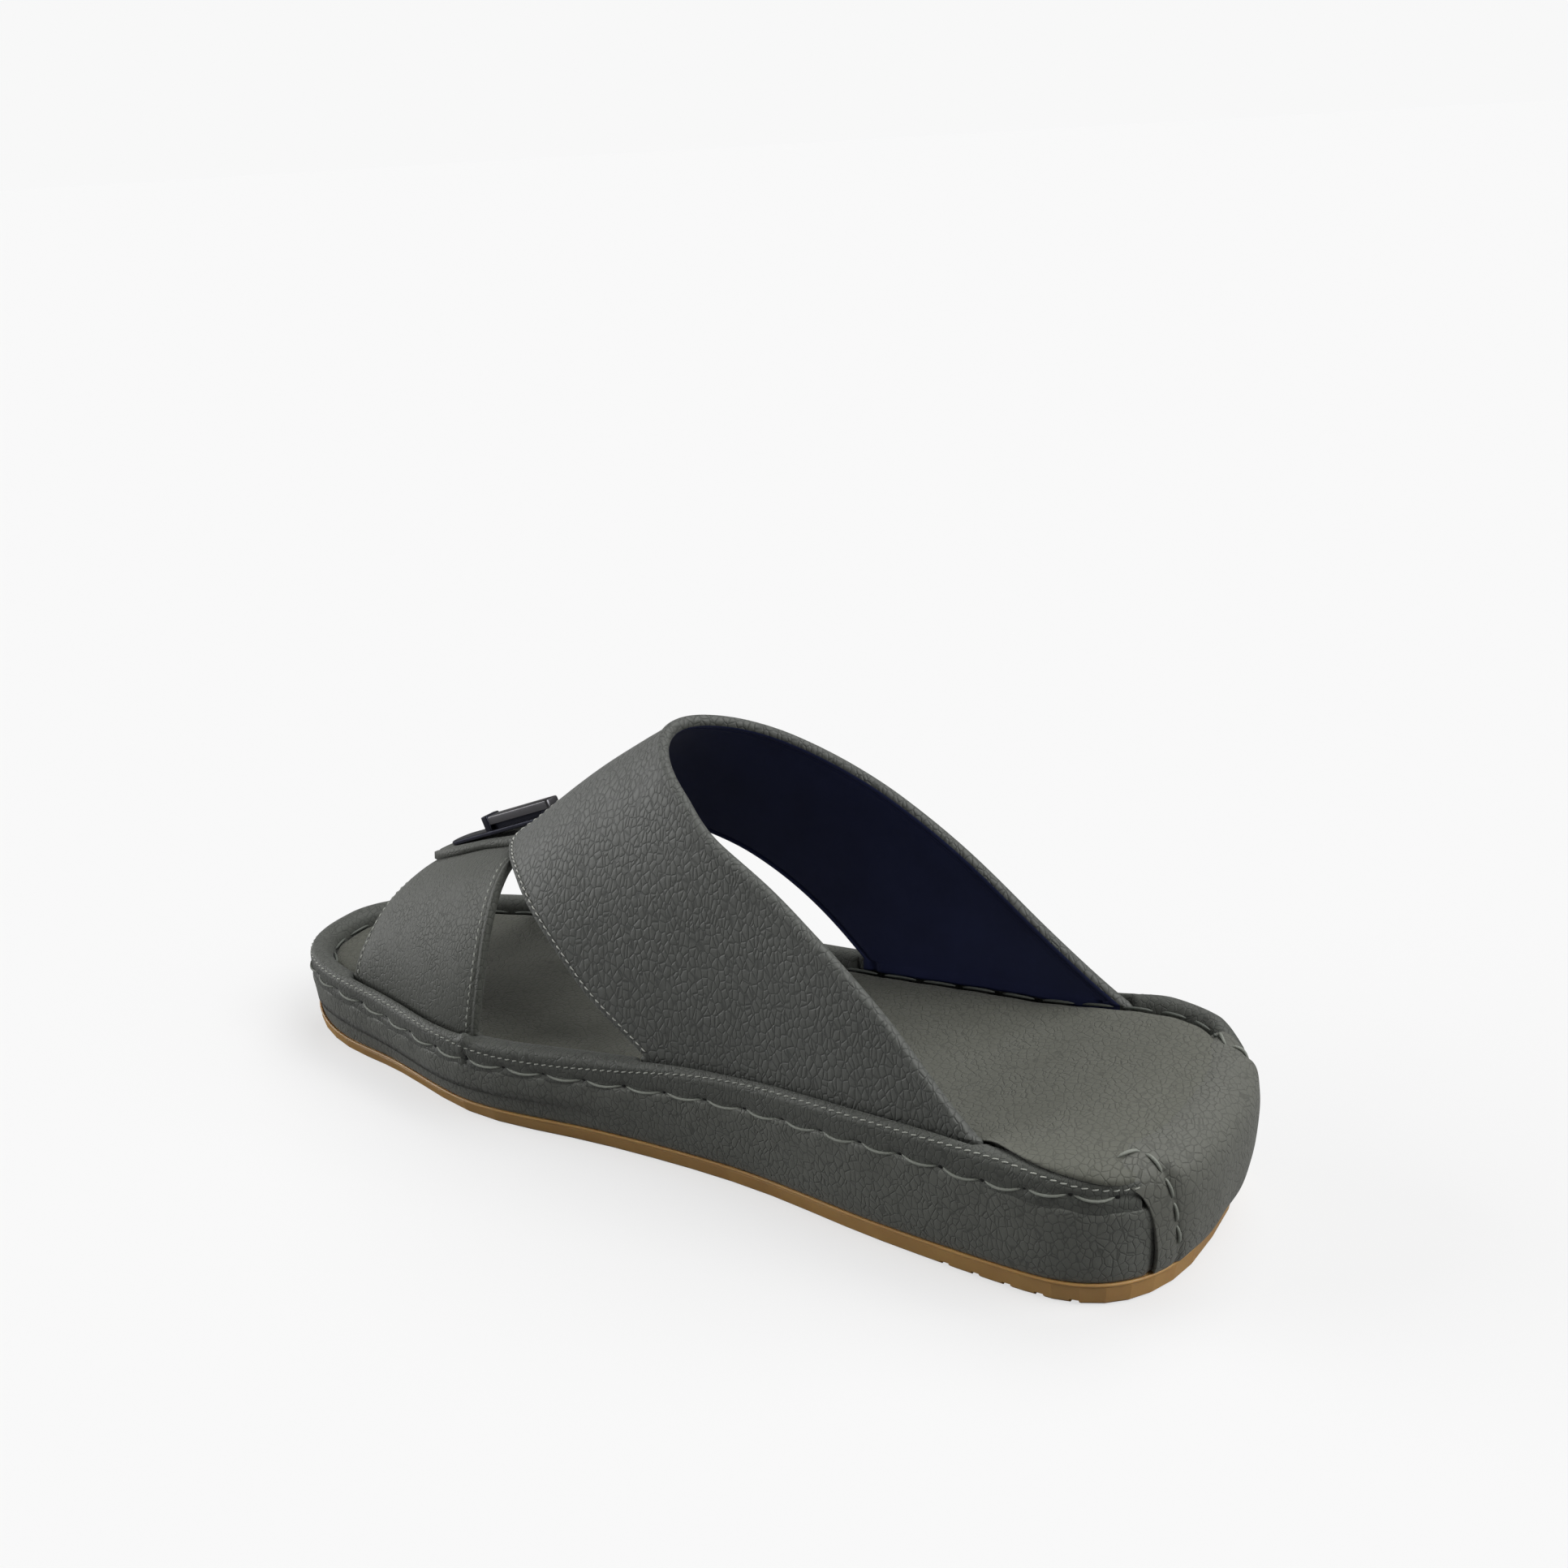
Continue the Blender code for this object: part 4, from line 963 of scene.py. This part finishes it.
def footbedPiece():
    shares = (1 - np.cos(np.pi * np.linspace(0, 1, footbed["rows"]))) / 2
    spilled = follow(*footbed["spill"], shares) * mm
    spilling = ease((footbed["spillEnd"] - shares) / 0.04) * ease(shares / 0.014)
    ends = {}
    for side in sideSign:
        over = spilled if side == "medial" else 0 * spilled
        walked = rimStations["medial"] == (side == "medial")
        order = np.argsort(rimStations["along"][walked])
        phase = np.interp(shares, rimStations["along"][walked][order], holePhase[walked][order])
        wave = footbed["scallop"] * (0.5 + 0.5 * np.cos(phase)) * ease(shares / 0.03)
        edge = footbed["edge"] + 0 * shares
        _, y = rimPoint(side, shares, edge - over)
        lip = footbedTop(y) - footbed["lip"] - wave
        if side == "medial":
            low = rimTop(y) + follow(*footbed["spillLevel"], shares) * mm
            lip = lip + (low - lip) * spilling
        rows = [(edge, shelf(y) + 0.4 * mm), (edge, footbedTop(y) - 3.0 * mm),
                (edge - 0.5 * over, lip - 0.5 * mm), (edge - 0.95 * over, lip - 0.4 * mm)]
        for inside, mix in ((0.0, 0.0), (0.35, 0.36), (1.0, 0.62), (2.0, 0.83), (3.6, 0.95), (6.0, 1.0)):
            inset = edge - over * (1 - inside / 9) + inside * mm
            _, y = rimPoint(side, shares, inset)
            rows.append((inset, lip + (footbedTop(y) - lip) * mix))
        spots = []
        for inset, height in rows:
            x, y = rimPoint(side, shares, inset)
            spots.append(np.stack([x, y, height], -1))
        ends[side] = np.stack(spots, 1)
    start = ends["medial"][:, -1:]
    end = ends["lateral"][:, -1:]
    t = np.linspace(0, 1, footbed["across"])[None, 1:-1, None]
    middle = start + (end - start) * t
    fromHeel = ease((shares[:, None] - footbed["flatHeel"][0]) / footbed["flatHeel"][1])
    wide = np.minimum(1.0, np.abs(end - start)[:, :, 0] / last["ballWidth"]) * fromHeel
    flat = t[:, :, 0]
    middle[:, :, 2] -= footbed["dish"] * 4 * flat * (1 - flat) * wide
    middle[:, :, 2] += ripple(middle, 14 * mm, 4.0) * footbed["ripple"] * np.sin(np.pi * flat) * fromHeel
    points = np.concatenate([ends["medial"], middle, ends["lateral"][:, ::-1]], 1)
    piece = newPiece("footbedPad", points, gridFaces(len(points), points.shape[1], True), [footbedLeather])
    closeLoft(piece)
    return place(piece, "footbed_leather", "footbed")


footbedPiece()
print("footbed done")


# Footbed leather rolled over the heel and down its back. Rows run from the footbed's top over the
# roll to the outsole; both ends of a row lie on the flange's cut edge.
wrap = {
    "columns": 190, "rows": 90, "wall": 1.1 * mm,
    "profile": (
        (13.0, "footbed", -1.50), (10.5, "footbed", -0.45), (8.0, "footbed", 0.04), (5.5, "footbed", 0.02),
        (3.2, "footbed", -0.45), (1.2, "footbed", -1.45), (-0.3, "footbed", -3.0), (-1.2, "footbed", -5.2),
        (-1.65, "shelf", 1.5), (-1.75, "shelf", -1.5), (-1.55, "shelf", -6.0), (-1.1, "outsole", 9.0),
        (-0.5, "outsole", 5.0), (0.4, "outsole", 2.2), (1.3, "outsole", 0.35),
    ),
    "edge": ((0.0, 0.20, 0.36, 0.44, 0.53, 0.66, 0.76, 0.92, 1.0),
             (0.034, 0.0400, 0.0400, 0.0381, 0.0300, 0.0242, 0.0210, 0.0191, 0.0186)),
    "seam": ((0.40, 0.50, 0.54, 0.71, 0.795, 0.985, 1.0),
             (0.0178, 0.0163, 0.0156, 0.0127, 0.0109, 0.0092, 0.0090)),
    "dart": ((0.235, 0.215, 0.215, 0.270, 0.325), (0.0394, 0.0300, 0.0221, 0.0200, 0.0190)),
    "step": 0.25 * mm, "valley": 0.55 * mm, "swell": 0.65 * mm, "folds": 0.14 * mm, "ridge": 0.7 * mm,
    "buried": 2.2 * mm,
}
wrapLevels = {"footbed": footbedTop, "shelf": shelf, "outsole": outsoleTop}


def wrapSurface():
    down = np.linspace(0, 1, wrap["rows"])[:, None]
    turn = np.linspace(-1, 1, wrap["columns"])[None, :]
    along = follow(*wrap["edge"], down) * (1 - np.cos(np.pi / 2 * np.abs(turn)))
    knots = np.linspace(0, 1, len(wrap["profile"]))
    inset = 0 * along
    weights = []
    for k, row in enumerate(wrap["profile"]):
        one = np.zeros(len(knots))
        one[k] = 1.0
        weights.append(follow(knots, one, down))
        inset = inset + weights[-1] * row[0] * mm
    spots = {}
    for side in sideSign:
        height = 0 * along
        for weight, (rowInset, level, rise) in zip(weights, wrap["profile"]):
            _, y = rimPoint(side, along, rowInset * mm)
            height = height + weight * (wrapLevels[level](y) + rise * mm)
        x, y = rimPoint(side, along, inset)
        spots[side] = np.stack([x, y, height], -1)
    grid = np.where((turn < 0)[..., None], spots["medial"], spots["lateral"])
    normal = np.cross(np.gradient(grid, axis=1), np.gradient(grid, axis=0))
    normal /= np.maximum(np.linalg.norm(normal, axis=-1, keepdims=True), 1e-12)
    if normal[wrap["rows"] // 2, wrap["columns"] // 2, 1] > 0:
        normal = -normal
    step = np.linalg.norm(np.diff(grid, axis=1), axis=-1)
    walked = np.concatenate([0 * down, np.cumsum(step, axis=1)], 1)
    fromEdge = np.minimum(walked, walked[:, -1:] - walked)
    low = ease((down - 0.30) / 0.12)
    seamTurn = np.arccos(1 - follow(*wrap["seam"], down) / follow(*wrap["edge"], down)) * 2 / np.pi
    seamColumn = ((1 - seamTurn) / 2 * (wrap["columns"] - 1))[:, 0]
    numbers = np.arange(wrap["columns"])
    seamFrom = np.array([np.interp(c, numbers, row) for c, row in zip(seamColumn, fromEdge)])
    fromSeam = fromEdge - seamFrom[:, None]
    flange = ease(-fromSeam / (1.4 * mm))
    valley = bell(fromSeam, 0.0, 0.9 * mm)
    full = ease(fromSeam / (6 * mm)) * ease((down - 0.3) / 0.2) * ease((1.05 - down) / 0.3)
    folds = wrap["folds"] * np.sin(walked / (2.6 * mm) + 3 * down) * ease((down - 0.5) / 0.4)
    ridge = wrap["ridge"] * bell(fromSeam, 3.0 * mm, 1.6 * mm) * bell(down, 0.40, 0.12)
    sink = (wrap["step"] * flange + wrap["valley"] * valley) * low + folds * (1 - flange)
    sink = sink - ridge - wrap["swell"] * full
    buried = wrap["buried"] * ease(1 - fromEdge / (5 * mm)) * ease(1 - down / 0.34)
    return grid - normal * (sink + buried)[..., None], normal, grid


wrapGrid, wrapNormal, wrapUncut = wrapSurface()


def wrapPiece():
    rows, columns = wrap["rows"], wrap["columns"]
    inner = wrapGrid - wrapNormal * wrap["wall"]
    points = np.concatenate([wrapGrid.reshape(-1, 3), inner.reshape(-1, 3)])
    faces = gridFaces(rows, columns, False)
    faces += [f[::-1] for f in gridFaces(rows, columns, False, rows * columns)]
    border = list(range(columns)) + [r * columns + columns - 1 for r in range(1, rows)]
    border += [(rows - 1) * columns + c for c in range(columns - 2, -1, -1)]
    border += [r * columns for r in range(rows - 2, 0, -1)]
    shift = rows * columns
    for a, b in zip(border, border[1:] + border[:1]):
        faces.append((a, b, b + shift, a + shift))
    piece = newPiece("heelWrap", points, faces, [wrapLeather])
    turnOutward(piece)
    return place(piece, "footbed_leather")


# Heavy stitches start in a dart on the footbed, turn over the heel's corner and go down the flange
wrapThread = {"pitch": 6.9 * mm, "length": 5.8 * mm, "radius": 0.46 * mm, "stand": 0.62 * mm,
              "sunk": 0.2 * mm, "slant": 0.0, "sag": 0.0}


def wrapStitches():
    rows, columns = wrap["rows"], wrap["columns"]
    downs = np.concatenate([wrap["dart"][0], wrap["seam"][0][:-1]])
    alongs = np.concatenate([wrap["dart"][1], wrap["seam"][1][:-1]])
    knots = np.arange(len(downs))
    at = np.linspace(0, len(downs) - 1, 160)
    down = follow(knots, downs, at)
    along = follow(knots, alongs, at)
    turn = np.arccos(1 - along / follow(*wrap["edge"], down)) * 2 / np.pi
    for name, side in (("wrapStitchesMedial", -1), ("wrapStitchesLateral", 1)):
        r = down * (rows - 1)
        c = (1 + side * turn) / 2 * (columns - 1)
        r0 = np.clip(np.floor(r).astype(int), 0, rows - 2)
        c0 = np.clip(np.floor(c).astype(int), 0, columns - 2)
        fr = (r - r0)[:, None]
        fc = (c - c0)[:, None]
        found = []
        for grid in (wrapGrid, wrapUncut, wrapNormal):
            upper = grid[r0, c0] * (1 - fc) + grid[r0, c0 + 1] * fc
            lower = grid[r0 + 1, c0] * (1 - fc) + grid[r0 + 1, c0 + 1] * fc
            found.append(upper * (1 - fr) + lower * fr)
        top = ease((0.36 - down) / 0.08)[:, None]
        path = found[0] * (1 - top) + found[1] * top
        spans = evenSpans(path, wrapThread["pitch"], wrapThread["length"])
        place(stitchRow(name, path, found[2], spans, wrapThread, heavyThread), "footbed_leather")


wrapPiece()
wrapStitches()
print("heel wrap done")


# Leather-covered wall of the midsole, bulging a little between the pulls of the heavy thread
midsole = {
    "rows": 300,
    "profile": (
        (3.0, "outsole", 0.30), (2.2, "outsole", 0.30), (1.75, "outsole", 1.2), (1.35, "outsole", 2.6),
        (0.95, "outsole", 4.4), (0.45, "outsole", 7.0), (0.0, "shelf", -9.0), (-0.45, "shelf", -6.0),
        (-0.78, "shelf", -4.0), (-0.94, "shelf", -2.4), (-0.93, "shelf", -1.4), (-0.75, "shelf", -0.75),
        (1.2, "shelf", -0.30),
    ),
}


def midsolePiece():
    shares = (1 - np.cos(np.pi * np.linspace(0, 1, midsole["rows"]))) / 2
    ends = {}
    for side in sideSign:
        _, near = rimPoint(side, shares, 0.0)
        behind = 0.9 * mm * ease((0.024 - shares) / 0.006)
        rows = []
        for k, (inset, level, rise) in enumerate(midsole["profile"]):
            overhang = toeOverhang(shares) * max(0.0, 0.7 - 0.09 * k)
            pull = 0.20 * mm * float(ease((k - 6) / 4)) * np.cos(2 * math.pi * near / rim["pitch"][1])
            tight = 0.04 * mm * np.sin(near / (5.1 * mm) + 0.5 * k)
            x, y = rimPoint(side, shares, inset * mm - overhang + pull + tight + behind)
            rows.append(np.stack([x, y, wrapLevels[level](y) + rise * mm], -1))
        ends[side] = np.stack(rows, 1)
    points = np.concatenate([ends["medial"], ends["lateral"][:, ::-1]], 1)
    piece = newPiece("midsoleWall", points, gridFaces(len(points), points.shape[1], True), [wallLeather])
    closeLoft(piece)
    return place(piece, "wall_leather", "midsole")


midsolePiece()
print("midsole done")


# Gum outsole: the solid keeps its shape, with a thin moulded lip along its top edge
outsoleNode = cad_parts["outsole"]
outsoleNode.data.materials.clear()
outsoleNode.data.materials.append(gum)


def outsoleLip():
    walk = rimWalk(0.0, 1.5 * mm)
    inset = 2.15 * mm - 0.7 * toeOverhang(walk["along"])
    path = rimSurface(walk, inset, 0 * inset)
    path[:, 2] = outsoleTop(path[:, 1]) - 0.35 * mm
    return place(tube("outsoleLip", path, 0.45 * mm, 8, gum), "gum_rubber")


outsoleLip()
print("outsole done")


# Metal plate and bar along the crest, set on the tongue. Distances run rearwards from the plate's tip.
metal = {"slope": math.radians(21.3), "front": 0.823, "gap": 0.3 * mm, "shift": 1.2 * mm,
         "reach": 44.8 * mm, "plate": (8.0 * mm, 43.4 * mm, 1.2 * mm), "barSpan": (16.6 * mm, 43.4 * mm),
         "barWidth": 5.0 * mm, "barHeight": 2.6 * mm, "barRaise": 1.1 * mm,
         "block": (5.6 * mm, 2.4 * mm), "foot": 3.6 * mm}


# Where the plate rests: a straight line just above the tongue's highest points
def metalSeat():
    slope = metal["slope"]
    tip = metal["front"]
    front = formPoint(tip, 0.0) + formNormal(tip, 0.0) * float(tongueLift(tip, 0.0))
    along = np.array((0.0, -math.cos(slope), math.sin(slope)))
    off = np.array((0.0, math.sin(slope), math.cos(slope)))
    shares = tip - metal["reach"] / last["length"] * np.linspace(0, 1, 25)[:, None]
    ways = np.array((-0.10, -0.05, 0.0, 0.05, 0.10))[None, :]
    points = formPoint(shares, ways) + formNormal(shares, ways) * tongueLift(shares, ways)[..., None]
    inside = (points - front) @ along < metal["reach"]
    highest = ((points - front) @ off)[inside].max()
    return front + off * (highest + metal["gap"]), along, off


seatPlace, seatAlong, seatOff = metalSeat()


# A bar with soft edges: rounded outline in plan, bevelled top
def metalBar(name, span, width, heights, ends, bevel, material):
    corners = 8
    length = span[1] - span[0]
    centre = (span[0] + span[1]) / 2 + metal["shift"]
    outlinePoints = []
    for cx, cy, start in ((1, 1, 0), (-1, 1, 90), (-1, -1, 180), (1, -1, 270)):
        radius = ends[0] if cy > 0 else ends[1]
        for k in range(corners + 1):
            turn = math.radians(start + 90 * k / corners)
            outlinePoints.append((cx * (width / 2 - radius) + radius * math.cos(turn),
                                  cy * (length / 2 - radius) + radius * math.sin(turn)))
    low, high = heights
    layers = ((low, bevel * 0.5), (low + bevel * 0.5, 0.0), (high - bevel, 0.0),
              (high - bevel * 0.3, bevel * 0.3), (high, bevel))
    points = []
    for height, inward in layers:
        for px, py in outlinePoints:
            sx = px * (1 - inward / (width / 2))
            sy = py * (1 - inward / (length / 2))
            points.append(seatPlace + seatAlong * (centre - sy) + np.array((sx, 0.0, 0.0)) + seatOff * height)
    count = len(outlinePoints)
    piece = newPiece(name, points, tubeFaces(len(layers), count), [material])
    turnOutward(piece)
    piece.data.set_sharp_from_angle(angle=math.radians(35))
    return piece


# A dark web fills the gap under the bar: painted shade where the bar stands clear of the plate
def ornament():
    width, length, thick = metal["plate"]
    blockWidth, blockLength = metal["block"]
    barWidth = metal["barWidth"]
    first, end = metal["barSpan"]
    blockStart = first - 0.6 * mm
    footEnd = end - 0.5 * mm
    root = thick - 0.2 * mm
    under = thick + metal["gap"] + metal["barRaise"]
    top = under + metal["barHeight"]
    plate = metalBar("ornamentPlate", (0.0, length), width, (0.0, thick), (3.6 * mm, 1.0 * mm), 0.35 * mm,
                     darkPlating)
    bar = metalBar("ornamentBar", (first + 1.0 * mm, end), barWidth, (under, top), (0.5 * mm, 0.9 * mm),
                   0.45 * mm, lightPlating)
    block = metalBar("ornamentBlock", (blockStart, blockStart + blockLength), blockWidth,
                     (root, top + 0.35 * mm), (0.4 * mm, 0.4 * mm), 0.3 * mm, darkPlating)
    foot = metalBar("ornamentFoot", (footEnd - metal["foot"], footEnd), barWidth - 0.6 * mm,
                    (root, under + 0.3 * mm), (0.5 * mm, 0.5 * mm), 0.2 * mm, darkPlating)
    gapShade = metalBar("ornamentGapShade", (first + 0.6 * mm, end - 1.0 * mm), barWidth - 2.2 * mm,
                   (root, under + 0.3 * mm), (0.4 * mm, 0.4 * mm), 0.1 * mm, darkPlating)
    place(plate, "gunmetal", "ornament_plate")
    place(bar, "gunmetal", "ornament_bar")
    for piece in (gapShade, block, foot):
        place(piece, "gunmetal")


ornament()
print("ornament done")


# Pale studio: an even paper floor that reaches the horizon, and soft light from above and both ends.
# The paper and the sky show pale to the camera and throw back less light, as a lit cove does.
studio = {"radius": 40.0, "paper": "#8C8C8C", "glow": 0.655, "sky": "#F8F8F8", "fill": 0.085}


def makeStudio():
    material, tree, shader = newMaterial("studioPaper")
    seen = addNode(tree, "ShaderNodeLightPath").outputs["Is Camera Ray"]
    glow = addNode(tree, "ShaderNodeMath", {"operation": "MULTIPLY"}, {0: seen, 1: studio["glow"]}).outputs[0]
    setInputs(tree, shader, {"Emission Strength": glow, "Emission Color": (1, 1, 1, 1),
                             "Base Color": linear(studio["paper"]), "Roughness": 1.0,
                             "Specular IOR Level": 0.0})
    around = 96
    points = [(0.0, 0.0, 0.0)]
    for radius in (0.3, 1.0, 5.0, studio["radius"]):
        for j in range(around):
            turn = 2 * math.pi * j / around
            points.append((radius * math.cos(turn), radius * math.sin(turn), 0.0))
    faces = [(0, 1 + j, 1 + (j + 1) % around) for j in range(around)]
    faces += [face[::-1] for face in gridFaces(4, around, True, 1)]
    newPiece("studioFloor", points, faces, [material], smooth=False)
    world = bpy.data.worlds.new("studioWorld")
    world.use_nodes = True
    tree = world.node_tree
    fill = tree.nodes["Background"]
    setInputs(tree, fill, {"Color": (1, 1, 1, 1), "Strength": studio["fill"]})
    sky = addNode(tree, "ShaderNodeBackground", {}, {"Color": linear(studio["sky"]), "Strength": 1.0})
    seen = addNode(tree, "ShaderNodeLightPath").outputs["Is Camera Ray"]
    both = addNode(tree, "ShaderNodeMixShader", {}, {0: seen, 1: fill.outputs[0], 2: sky.outputs[0]})
    tree.links.new(both.outputs[0], tree.nodes["World Output"].inputs["Surface"])
    bpy.context.scene.world = world
    bpy.context.scene.view_settings.view_transform = "Standard"


lights = (
    {"name": "overhead", "from": (0.50, -0.05, 0.85), "angle": 42, "strength": 1.18},
    {"name": "heelSide", "from": (0.08, -1.00, 1.00), "angle": 44, "strength": 2.3},
    {"name": "toeSide", "from": (-0.34, 1.00, 0.28), "angle": 44, "strength": 2.2},
)


def makeLights():
    for entry in lights:
        data = bpy.data.lights.new(entry["name"], "SUN")
        data.angle = math.radians(entry["angle"])
        data.energy = entry["strength"]
        light = linked(bpy.data.objects.new(entry["name"], data))
        back = unit(np.array(entry["from"]))
        side = unit(np.cross((0.0, 1.0, 0.02), back))
        turned = np.column_stack([side, np.cross(back, side), back])
        light.matrix_world = Matrix(turned.tolist()).to_4x4()


makeStudio()
makeLights()
print("studio done")
